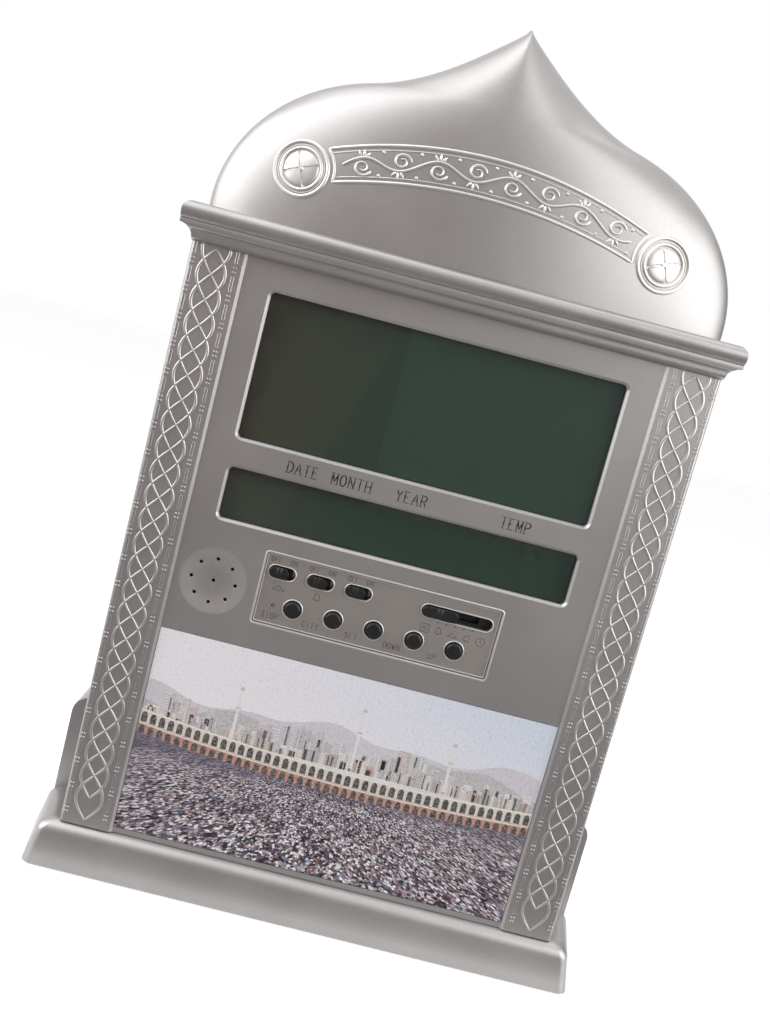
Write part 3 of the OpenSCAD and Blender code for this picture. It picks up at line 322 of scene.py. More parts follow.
@functools.lru_cache(None)
def paint(name="satin_silver_paint", lift=1.0, band=False, dish=None):
    """Satin silver paint: fine flakes, slight clouding in the gloss and faint orange peel."""
    # A lift above 1 moves the colour towards the lighter silver of the raised parts: a painted highlight
    s = [a + (b - a) * min(1, (lift - 1) * 5) for a, b in zip(colours().silver, colours().bright)]
    r = Recipe(name, Metallic=0.72, IOR=1.5)
    p = r.place()
    flake = r.noise(p, 2.6, 2.0, 0.7)
    cloud = r.noise(p, 0.035, 3.0, 0.55)
    tone = flake * 0.6 + cloud * 0.4
    base = r.mix(tone.between(0.3, 0.7), shade(s, 0.9), shade(s, 1.07))
    rough = 0.3 + flake * 0.07 + cloud * 0.06
    if band:
        x, _, z = r.split(p)
        top = BAND_TOP[0] - x * x * BAND_TOP[1]
        foot = BAND_FOOT[0] - x * x * BAND_FOOT[1]
        inside = (top - z).between(0, 0.4) * (z - foot).between(0, 0.4)
        inside = inside * (1 - abs(x).between(BAND_END - 0.4, BAND_END + 0.4))
        # Painted shade: the band's recessed floor is darkened, and darker strips run just inside its
        # borders
        line = inside * (1 - (top - z).between(0.5, 1.5)) + inside * (1 - (z - foot).between(0.5, 1.5))
        base = r.mix(inside * 0.13 + line * 0.16, base, shade(s, 0.35))
        rough = rough + inside * 0.05
    if dish:
        x, _, z = r.split(p)
        dx, dz = x - dish[0], z - dish[1]
        square = dx * dx + dz * dz
        far = square.math("SQRT", square)
        # Painted highlight: a lighter ring round the speaker dish, stronger towards its lower side
        ring = far.between(2.0, dish[2] - 1.5) * (1 - far.between(dish[2] - 0.5, dish[2] + 0.3))
        base = r.mix(ring * (0.35 - dz * 0.012), base, shade(colours().bright, 1.05))
    r.set(Base_Color=base, Roughness=rough)
    r.bump(flake * 0.7 + r.noise(p, 0.7, 1.0) * 0.6, 0.00001)
    return r.material


@functools.lru_cache(None)
def plastic(name, tint, rough=0.45, grain=3.0, depth=0.00002, metal=0.0, spread=0.12, sheen=0.0):
    """Moulded plastic or metal with a grain, clouded gloss and slight colour variation."""
    r = Recipe(name, Metallic=metal)
    p = r.place()
    fine = r.noise(p, grain, 3.0, 0.6)
    broad = r.noise(p, 0.12, 2.0)
    tone = (fine * 0.5 + broad * 0.5).between(0.3, 0.7)
    base = r.mix(tone, shade(tint, 1 - spread), shade(tint, 1 + spread))
    r.set(Base_Color=base, Roughness=rough - 0.06 + broad * 0.12 + fine * 0.05)
    if sheen:
        r.set(Coat_Weight=sheen, Coat_Roughness=0.12)
    r.bump(fine, depth)
    return r.material


# ---------------------------------------------------------------- mesh helpers


def link(obj, body="housing", slot=None, replaces=()):
    """Adds a piece to the scene, on its CAD body."""
    bpy.context.scene.collection.objects.link(obj)
    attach(obj, body)
    if replaces:
        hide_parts(*replaces)
    return obj


def piece(name, points, faces, material, slot="silver_plastic", replaces=(), smooth=True, outward=False):
    """A mesh piece on the housing, from points in millimetres."""
    mesh = bpy.data.meshes.new(name)
    mesh.from_pydata([(p[0] * MM, p[1] * MM, p[2] * MM) for p in points], [], faces)
    if outward:
        bm = bmesh.new()
        bm.from_mesh(mesh)
        bmesh.ops.recalc_face_normals(bm, faces=bm.faces)
        bm.to_mesh(mesh)
        bm.free()
    mesh.polygons.foreach_set("use_smooth", [smooth] * len(mesh.polygons))
    if smooth:
        mesh.set_sharp_from_angle(angle=SMOOTH_ANGLE)
    mesh.materials.append(material)
    return link(bpy.data.objects.new(name, mesh), slot=slot, replaces=replaces)


def softened(node, name, width, material, body="housing", slot="silver_plastic", angle=27, segments=2):
    """A copy of a CAD node with its sharp edges rounded, which stands in for the node."""
    bm = bmesh.new()
    bm.from_mesh(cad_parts[node].data)
    bmesh.ops.remove_doubles(bm, verts=bm.verts, dist=MERGE_DISTANCE)
    bmesh.ops.dissolve_limit(bm, angle_limit=FLAT_ANGLE, verts=bm.verts, edges=bm.edges)
    mesh = bpy.data.meshes.new(name)
    bm.to_mesh(mesh)
    bm.free()
    for spare in [a.name for a in mesh.attributes if "normal" in a.name]:
        mesh.attributes.remove(mesh.attributes[spare])
    mesh.materials.clear()
    mesh.materials.append(material)
    mesh.polygons.foreach_set("material_index", [0] * len(mesh.polygons))
    mesh.polygons.foreach_set("use_smooth", [True] * len(mesh.polygons))
    mesh.set_sharp_from_angle(angle=SHARP_ANGLE)
    obj = link(bpy.data.objects.new(name, mesh), body, slot, (node,))
    bevel = obj.modifiers.new("Rounded edges", "BEVEL")
    bevel.width = width
    bevel.segments = segments
    bevel.limit_method = "ANGLE"
    bevel.angle_limit = math.radians(angle)
    bevel.use_clamp_overlap = True
    bevel.harden_normals = False
    weights = obj.modifiers.new("Flat faces", "WEIGHTED_NORMAL")
    weights.keep_sharp = False
    weights.weight = 60
    return obj


def dress(material, *nodes):
    """Gives CAD nodes a material, in place of the plain one they came with."""
    for node in nodes:
        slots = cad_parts[node].material_slots
        if not slots:
            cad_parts[node].data.materials.append(material)
        for s in slots:
            s.material = material


def flat(y):
    """An upright surface that faces the front, at a depth in millimetres."""
    return lambda x, z: (Vector((x, y, z)), Vector((0, -1, 0)))


def ridges(runs, surface, sides=6, sink=0.3):
    """Points and faces of rounded ridges. A run is path, width or widths, height, and whether it closes."""
    points, faces = [], []
    for path, width, height, closed in runs:
        n = len(path)
        first = len(points)
        for i in range(n):
            at, out = surface(*path[i])
            back = surface(*path[(i - 1) % n if closed else max(i - 1, 0)])[0]
            ahead = surface(*path[(i + 1) % n if closed else min(i + 1, n - 1)])[0]
            side = (ahead - back).cross(out).normalized()
            w = (width[i] if isinstance(width, (list, tuple)) else width) / 2
            h = height
            if not closed and i in (0, n - 1):
                w, h = w * 0.55, h * 0.55
            for k in range(sides + 1):
                t = math.pi * k / sides
                drop = sink if k in (0, sides) else 0
                points.append(at + side * (w * math.cos(t)) + out * (h * math.sin(t) - drop))
        ring = sides + 1
        for i in range(n if closed else n - 1):
            a, b = first + i * ring, first + (i + 1) % n * ring
            faces += [(a + k, b + k, b + k + 1, a + k + 1) for k in range(sides)]
        if not closed:
            faces.append(tuple(first + k for k in range(ring)))
            faces.append(tuple(first + (n - 1) * ring + k for k in reversed(range(ring))))
    return points, faces


def studs(spots, radius, height, surface):
    """Points and faces of small round studs."""
    around = 8
    points, faces = [], []
    for x, z in spots:
        at, out = surface(x, z)
        side = Vector((1, 0, 0))
        up = out.cross(side).normalized()
        first = len(points)
        for r, h in ((1.0, -0.2), (1.0, 0.0), (0.8, 0.62), (0.42, 0.93)):
            for a in (math.tau * k / around for k in range(around)):
                turned = side * math.cos(a) + up * math.sin(a)
                points.append(at + turned * (radius * r) + out * (height * h))
        points.append(at + out * height)
        for j in range(3):
            for k in range(around):
                a, b = (first + j * around + i % around for i in (k, k + 1))
                faces.append((a, b, b + around, a + around))
        tip = len(points) - 1
        faces += [(tip - around + k, tip - around + (k + 1) % around, tip) for k in range(around)]
    return points, faces


def together(*meshes):
    """Points and faces of several meshes in one."""
    points, faces = [], []
    for p, f in meshes:
        first = len(points)
        points += p
        faces += [tuple(first + i for i in face) for face in f]
    return points, faces


def arc(cx, cz, r, start, end, steps):
    return [
        (cx + r * math.cos(math.radians(a)), cz + r * math.sin(math.radians(a)))
        for a in (start + (end - start) * i / steps for i in range(steps + 1))
    ]


def circle(cx, cz, r, steps=40):
    return arc(cx, cz, r, 0, 360 - 360 / steps, steps - 1)


def frame_path(x0, z0, x1, z1, r, steps=5):
    """A closed rectangle with round corners."""
    return (
        arc(x1 - r, z1 - r, r, 0, 90, steps)
        + arc(x0 + r, z1 - r, r, 90, 180, steps)
        + arc(x0 + r, z0 + r, r, 180, 270, steps)
        + arc(x1 - r, z0 + r, r, 270, 360, steps)
    )


def curve(points, steps=4):
    """A smooth path through points."""
    out = []
    for i in range(len(points) - 1):
        a, b, c, d = (Vector(points[min(max(i + k, 0), len(points) - 1)]) for k in (-1, 0, 1, 2))
        for t in (s / steps for s in range(steps)):
            square, cube = (2 * a - 5 * b + 4 * c - d) * t**2, (3 * b - a - 3 * c + d) * t**3
            out.append(tuple((2 * b + (c - a) * t + square + cube) / 2))
    return out + [points[-1]]


# ---------------------------------------------------------------- shape of the dome

SHOULDER = (44.9, 49.8)
DOME_LOWER = [(85.2, 0), (86.7, 0.31 * DOME_H), (SHOULDER[0] + 23.9, SHOULDER[1] - 5.975), SHOULDER]
DOME_UPPER = [SHOULDER, (SHOULDER[0] - 21.1, SHOULDER[1] + 5.275), (9.2, DOME_H - 6), (0, DOME_H)]
BAND_TOP = (258.2, 0.003458)
BAND_FOOT = (246.2, 0.00291)
BAND_END, BAND_GAP = 51, 1.5
MEDALLION = (58.15, 241.4)


def bezier(p, t):
    u = 1 - t
    shares = (u**3, 3 * u * u * t, 3 * u * t * t, t**3)
    return tuple(sum(share * point[k] for share, point in zip(shares, p)) for k in (0, 1))


def outline(u):
    """Half width and height of the dome's outline, for u from 0 at the cornice to 1 at the tip."""
    return bezier(DOME_LOWER, 2 * u) if u < 0.5 else bezier(DOME_UPPER, 2 * u - 1)


@functools.lru_cache(None)
def half_width(h):
    """Half width of the dome at a height above the cornice."""
    low, high = 0.0, 1.0
    for _ in range(26):
        mid = (low + high) / 2
        low, high = (low, mid) if outline(mid)[1] > h else (mid, high)
    return outline(low)[0]


def bulge(h):
    """How far the middle of the dome stands out in front of its rim."""
    return 5 + 12.6 * math.sqrt(max(0, 1 - min(1, max(0, h) / DOME_H) ** 2.2))


def fullness(h):
    """Exponent of the dome's cross-section: 2 is an ellipse, less comes nearer to a ridge."""
    return 2 - 0.5 * min(1, max(0, h) / DOME_H) ** 2


def dome_y(x, z):
    """Depth of the dome's front skin."""
    h = round(z - DOME_Z, 4)
    p = fullness(h)
    return RIM_Y - bulge(h) * max(0, 1 - (abs(x) / half_width(h)) ** p) ** (1 / p)


def level(edge, x):
    """Height of an edge of the dome's band."""
    return edge[0] - edge[1] * x * x


def on_dome(x, z):
    """Point and outward normal of the dome's front skin."""
    d = 0.05
    out = Vector(
        (
            (dome_y(x + d, z) - dome_y(x - d, z)) / (2 * d),
            -1,
            (dome_y(x, z + d) - dome_y(x, z - d)) / (2 * d),
        )
    )
    return Vector((x, dome_y(x, z), z)), out.normalized()


# ---------------------------------------------------------------- operators


class CLOCK_OT_housing(bpy.types.Operator):
    """Front cover, rear cover and plinth with softened edges and satin silver paint."""

    bl_idname = "clock.housing"
    bl_label = "Housing"

    def execute(self, context):
        size = sizes()
        # The front's paint carries a painted highlight round the speaker dish
        front = paint("front_paint_with_dish_highlight", dish=SPEAKER_DISH)
        softened("front_cover", "front_housing", size.edge_bevel, front)
        softened("rear_cover", "rear_housing", size.edge_bevel * 1.4, paint())
        softened("plinth", "plinth_housing", size.edge_bevel, paint())
        return {"FINISHED"}


class CLOCK_OT_dome(bpy.types.Operator):
    """Smooth skin of the pointed dome."""

    bl_idname = "clock.dome"
    bl_label = "Dome"

    def execute(self, context):
        rows, columns = 96, 112
        points, faces = [], []
        for i in range(rows + 1):
            w, h = outline(i / rows)
            w, p, d = max(1.0, w), fullness(h), bulge(h)
            for j in range(columns + 1):
                a = math.radians(-90 + 180 * j / columns)
                s, c = math.sin(a), abs(math.cos(a))
                x = w * math.copysign(abs(s) ** (2 / p), s)
                points.append((x, RIM_Y - d * c ** (2 / p), DOME_Z + h))
            points += [(w, PARTING_Y, DOME_Z + h), (-w, PARTING_Y, DOME_Z + h)]
        ring = columns + 3
        for i in range(rows):
            for j in range(ring):
                a, b = i * ring + j, i * ring + (j + 1) % ring
                faces.append((a, b, b + ring, a + ring))
        faces.append(tuple(reversed(range(ring))))
        faces.append(tuple(rows * ring + j for j in range(ring)))
        # The dome's paint carries painted shade on its band
        silver = paint("dome_paint_with_band_shade", band=True)
        piece("dome_skin", points, faces, silver, replaces=("dome_cover",), outward=True)
        return {"FINISHED"}


class CLOCK_OT_dome_relief(bpy.types.Operator):
    """Raised band, scroll ornament and two medallions on the dome."""

    bl_idname = "clock.dome_relief"
    bl_label = "Dome relief"

    def execute(self, context):
        size = sizes()
        # The raised pieces take the lighter silver, a painted highlight
        bright = paint("raised_silver_highlight_paint", 1.2)
        w, h = size.border_width / MM, size.border_height / MM
        radius = size.medallion_radius / MM

        runs = []
        for edge, inset in ((BAND_TOP, -BAND_GAP), (BAND_FOOT, BAND_GAP)):
            end = self.reach(edge, radius)
            runs.append((self.band(edge, end), w, h, False))
            runs.append((self.band(edge, end - 1, inset), w * 0.4, h * 0.5, False))
        for s in (-1, 1):
            angles = []
            for edge in (BAND_TOP, BAND_FOOT):
                x = self.reach(edge, radius)
                angle = math.degrees(math.atan2(level(edge, x) - MEDALLION[1], s * (x - MEDALLION[0])))
                angles.append(angle if s < 0 else angle % 360)
            ring = arc(s * MEDALLION[0], MEDALLION[1], radius + BAND_GAP, *angles, 14)
            runs.append((ring, w * 0.8, h * 0.8, False))
        piece("band_border", *ridges(runs, on_dome), bright)

        for s, side in ((-1, "left"), (1, "right")):
            cx, cz = s * MEDALLION[0], MEDALLION[1]
            rings = [
                (circle(cx, cz, radius - 0.5, 72), 1.35, 0.62, True),
                (circle(cx, cz, radius - 1.6, 60), 0.4, 0.25, True),
                (circle(cx, cz, radius * 0.715, 60), 1.15, 0.55, True),
            ]
            piece(f"{side}_medallion_rings", *ridges(rings, on_dome), bright)
            boss = self.boss(cx, cz, radius * 0.62)
            piece(f"{side}_medallion_boss", *boss, bright, outward=True)
        piece("band_scrolls", *self.scrolls(size), bright)
        return {"FINISHED"}

    def reach(self, edge, radius):
        """How far the band's edge runs from the middle before it meets a medallion."""
        x = MEDALLION[0]
        while math.dist((x, level(edge, x)), MEDALLION) < radius + BAND_GAP:
            x -= 0.05
        return x

    def band(self, edge, end, inset=0.0):
        """One edge of the band from one side to the other."""
        return [(x, level(edge, x) + inset) for x in (end * (i / 40 - 1) for i in range(81))]

    def boss(self, cx, cz, disc):
        """Domed disc with four grooves that run out from its middle."""
        steps, rows = 96, 12
        rise, groove, slit = 0.7, 0.45, 0.36
        at, out = on_dome(cx, cz)
        points, faces = [at + out * (rise + 0.05)], []
        for j in range(1, rows + 1):
            share = j / rows
            for k in range(steps):
                a = math.tau * k / steps
                p, n = on_dome(cx + disc * share * math.cos(a), cz + disc * share * math.sin(a))
                aside = math.radians(abs((math.degrees(a) + 25) % 90 - 45)) * disc * share
                cut = groove if aside < slit and 0.16 < share < 0.93 else 0
                points.append(p + n * (0.05 + rise * math.sqrt(1 - share**2) - cut))
        faces.extend([(0, 1 + k, 1 + (k + 1) % steps) for k in range(steps)])
        for j in range(rows - 1):
            for k in range(steps):
                a, b = 1 + j * steps + k, 1 + j * steps + (k + 1) % steps
                faces.append((a, a + steps, b + steps, b))
        return points, faces

    def scrolls(self, size):
        """A waved stem with a curl, three leaves and two berries at each turn."""
        n, half = size.scroll_count, 46
        step = 2 * half / n
        width = size.scroll_width / MM
        centre = lambda x: (level(BAND_TOP, x) + level(BAND_FOOT, x)) / 2
        across = (half * (i / 75 - 1) for i in range(151))
        stem = [(x, centre(x) + 2.0 * math.sin(math.pi * x / step)) for x in across]
        runs, spots = [(stem, width * 0.85, 0.55, False)], []
        for k in range(n):
            x0 = step * (k + 0.5) - half
            s = 1 if math.sin(math.pi * x0 / step) > 0 else -1
            turn = []
            for t in (i / 26 for i in range(27)):
                a = math.tau * 1.35 * t + 0.2
                z = centre(x0) - s * (1.0 + (2.5 - 1.8 * t) * math.sin(a))
                turn.append((x0 + 0.4 + (2.9 - 2.1 * t) * math.cos(a), z))
            runs.append((turn, [width * (0.9 - 0.35 * i / 26) for i in range(27)], 0.5, False))
            for angle, long in ((52, 3.0), (90, 3.3), (128, 3.0)):
                c, d = math.cos(math.radians(angle)), s * math.sin(math.radians(angle))
                x, z = x0 + 0.9 * c, centre(x0) + s * 1.9 + 0.3 * d
                leaf = [(x + long * 0.72 * c * i / 4, z + long * 0.72 * d * i / 4) for i in range(5)]
                runs.append((leaf, [width * v for v in (0.4, 0.85, 0.95, 0.7, 0.3)], 0.5, False))
            x = x0 + step / 2 - (0 if k < n - 1 else 0.6)
            spots += [(x, centre(x0 + step / 2) + s * 3.6), (x, centre(x0 + step / 2) - s * 3.6)]
        return together(ridges(runs, on_dome), studs(spots, 0.62, 0.5, on_dome))


class CLOCK_OT_columns(bpy.types.Operator):
    """Interlace and beaded lines on the two columns."""

    bl_idname = "clock.columns"
    bl_label = "Columns"

    def execute(self, context):
        size = sizes()
        # The interlace and beads take a slightly lighter silver, a painted highlight
        bright = paint("column_relief_highlight_paint", 1.08)
        pitch, reach = size.braid_pitch / MM, size.braid_reach / MM
        foot, top, crossings = 17.7, FRONT_HIGH.z - CORNICE_H, 24
        bead_foot, bead_rows, dot_gap = 20.2, 22, 0.7
        width, height = size.strand_width / MM, size.strand_height / MM
        step, bead = size.bead_pitch / MM, size.bead_width / MM
        ground = flat(FACE_Y)
        for s, side in ((-1, "left"), (1, "right")):
            runs = []
            for z0, z1 in ((foot, foot + crossings * pitch), (foot + pitch, top)):
                n = int((z1 - z0) / 0.7)
                for sign in (-1, 1):
                    path, widths = [], []
                    for z in (z0 + (z1 - z0) * i / n for i in range(n + 1)):
                        swing = math.sin(math.pi * (z - z0) / (2 * pitch))
                        path.append((s * COLUMN_X + sign * reach * swing, z))
                        widths.append(width * (0.78 + 0.42 * abs(swing)))
                    runs.append((path, widths, height, False))
            piece(f"{side}_braid", *ridges(runs, ground), bright)

            dashes, dots = [], []
            lines = [s * (COLUMN_X + d) for d in (-7.2, -6.35, 6.3, 7.15)]
            for z in (bead_foot + step * k for k in range(bead_rows)):
                low, high = z + 2.1, min(z + 6.75, top)
                dots += [(x, z + d) for x in lines for d in (-dot_gap, dot_gap)]
                if low < high:
                    dashes += [([(x, low), (x, high)], bead, 0.26, False) for x in lines]
                    for a, b in (lines[:2], lines[2:]):
                        for end in (low, high):
                            dashes.append(([(min(a, b), end), (max(a, b), end)], bead * 0.8, 0.2, False))
            beads = together(ridges(dashes, ground, 4), studs(dots, 0.36, 0.28, ground))
            piece(f"{side}_beads", *beads, bright)
        return {"FINISHED"}


class CLOCK_OT_displays(bpy.types.Operator):
    """Two unlit displays behind clear windows."""

    bl_idname = "clock.displays"
    bl_label = "Displays"

    def execute(self, context):
        tint = colours()
        r = Recipe("clear_acrylic", Base_Color=(0.97, 0.98, 0.98), Transmission_Weight=1.0, IOR=1.45)
        p = r.place()
        smear = r.noise(p, 0.05, 3.0)
        r.set(Roughness=smear.between(0.45, 0.8) * 0.008)
        # Lamps shine straight through the windows
        clear = r.add("ShaderNodeBsdfTransparent", {}, {"Color": (0.93, 0.95, 0.94)})
        r.show(r.add("ShaderNodeMixShader", {}, {0: r.ray("Shadow"), 1: r.shader, 2: clear}))
        dress(r.material, "upper_lens", "lower_lens")

        r = Recipe("liquid_crystal_glass", IOR=1.35)
        p = r.place()
        x, _, z = r.split(p)
        cloud = r.noise(p, 0.03, 2.0)
        # Painted reflection: the left of the glass turns lighter and warmer, and a slanted strip at the
        # left is lighter still
        reflection_wedge = (abs(x + 47 - (z - 150) * 0.35) - 14).between(0, 1.6)
        warm = (1 - (x + cloud * 30).between(-45, 8)) * 0.9
        base = r.mix(warm, tint.glass, tint.glass_reflection)
        base = r.mix((1 - reflection_wedge) * 0.16, base, shade(tint.glass_reflection, 1.7))
        base = r.mix((z - 190).between(0, 14) * 0.35, base, shade(tint.glass, 0.72))
        r.set(Base_Color=base, Roughness=0.24 + cloud * 0.1)
        r.bump(cloud, 0.00001)
        dress(r.material, "upper_display_glass", "lower_display_glass")
        return {"FINISHED"}


class CLOCK_OT_controls(bpy.types.Operator):
    """Control plate, rims whose lighter silver is a painted highlight, buttons and slide switch knobs."""

    bl_idname = "clock.controls"
    bl_label = "Controls"
    sides = ("left", "middle", "right")
    knobs = [(f"{side}_slide_knob", 2) for side in sides] + [("selector_knob", 11.6)]
    cap_height, key_ring, rim_inset = 4.1, 3.22, 0.63

    def execute(self, context):
        size, tint = sizes(), colours()
        r = Recipe("satin_film", Metallic=0.55)
        p = r.place()
        fine = r.noise(p, 4.0, 2.0, 0.7)
        broad = r.noise(p, 0.06, 2.0)
        tone = (fine * 0.6 + broad * 0.4).between(0.3, 0.7)
        base = r.mix(tone, shade(tint.plate, 0.92), shade(tint.plate, 1.06))
        r.set(Base_Color=base, Roughness=0.36 + fine * 0.08)
        r.bump(fine, 0.000008)
        dress(r.material, "control_plate")

        # Ridges round the keys, knobs and recess stand for their bevelled edges; their lighter silver is a
        # painted highlight
        bright = paint("raised_silver_highlight_paint", 1.2)
        plate = flat(PLATE_Y)
        rims = [(circle(b.x, b.z, self.key_ring), 0.5, 0.22, True) for b in BUTTONS]
        for node, travel in self.knobs:
            low, high = corners(node)
            h = self.cap_height / 2 + 0.22
            x0, x1 = low.x + self.rim_inset, high.x + travel - self.rim_inset
            z = (low.z + high.z) / 2
            rims.append((frame_path(x0, z - h, x1, z + h, h - 0.02, 9), 0.45, 0.2, True))
        piece("control_rims", *ridges(rims, plate), bright)
        piece("recess_rim", *self.rim(0.35, 1.1, 0.75, 0.22, flat(PANEL_Y)), bright)
        piece("plate_rim", *self.rim(-0.45, 0.6, 0.4, 0.16, plate), bright)

        black = plastic("black_key_plastic", tuple(tint.black), 0.34, 3.0, 0.000012, sheen=0.15)
        looks = {"material": black, "slot": "black_plastic"}
        for key in KEYS:
            softened(f"{key}_button", f"{key}_cap", size.key_bevel, body=f"{key}_key", segments=4, **looks)
        width = size.key_bevel * 0.45
        for side in self.sides:
            names = f"{side}_slide_knob", f"{side}_knob"
            softened(*names, width, body=f"{side}_switch_knob", angle=40, **looks)
        softened("selector_knob", "selector_cap", width, body="selector", angle=40, **looks)
        return {"FINISHED"}

    def rim(self, out, corner, width, height, surface):
        """A ridge round the control recess, so far outside its edge."""
        path = frame_path(-CONTROL_X - out, CONTROL_Z0 - out, CONTROL_X + out, CONTROL_Z1 + out, corner)
        return ridges([(path, width, height, True)], surface)


# Strokes of the printed letters, on a box one unit wide and high; ~ marks a curved stroke
STROKES = {
    "A": ["0,0 .5,1 1,0", ".2,.36 .8,.36"],
    "C": ["~.93,.76 .75,.97 .45,.99 .14,.8 .05,.5 .14,.2 .45,.01 .75,.03 .95,.24"],
    "D": [".08,0 .08,1", "~.08,1 .5,.97 .88,.78 .97,.5 .88,.22 .5,.03 .08,0"],
    "E": [".1,0 .1,1", ".1,1 .9,1", ".1,.52 .7,.52", ".1,0 .95,0"],
    "F": [".1,0 .1,1", ".1,1 .92,1", ".1,.52 .7,.52"],
    "H": [".08,0 .08,1", ".92,0 .92,1", ".08,.52 .92,.52"],
    "I": [".5,0 .5,1"],
    "M": [".06,0 .06,1", ".06,1 .5,.2", ".5,.2 .94,1", ".94,1 .94,0"],
    "N": [".08,0 .08,1", ".08,1 .92,0", ".92,0 .92,1"],
    "O": ["~.5,1 .15,.85 .04,.5 .15,.15 .5,0 .85,.15 .96,.5 .85,.85 .5,1"],
    "P": [".1,0 .1,1", "~.1,1 .6,.99 .92,.86 .94,.68 .6,.5 .1,.47"],
    "R": [".1,0 .1,1", "~.1,1 .6,.99 .9,.86 .9,.66 .6,.5 .1,.48", ".5,.48 .98,0"],
    "S": ["~.88,.82 .6,1 .25,.93 .14,.72 .35,.55 .7,.43 .88,.24 .7,.03 .35,.01 .08,.2"],
    "T": [".5,0 .5,1", "0,1 1,1"],
    "U": [".1,1 .1,.35", "~.1,.35 .2,.08 .5,0 .8,.08 .9,.35", ".9,.35 .9,1"],
    "W": ["0,1 .27,0", ".27,0 .5,.75", ".5,.75 .73,0", ".73,0 1,1"],
    "Y": ["0,1 .5,.48", "1,1 .5,.48", ".5,.48 .5,0"],
}


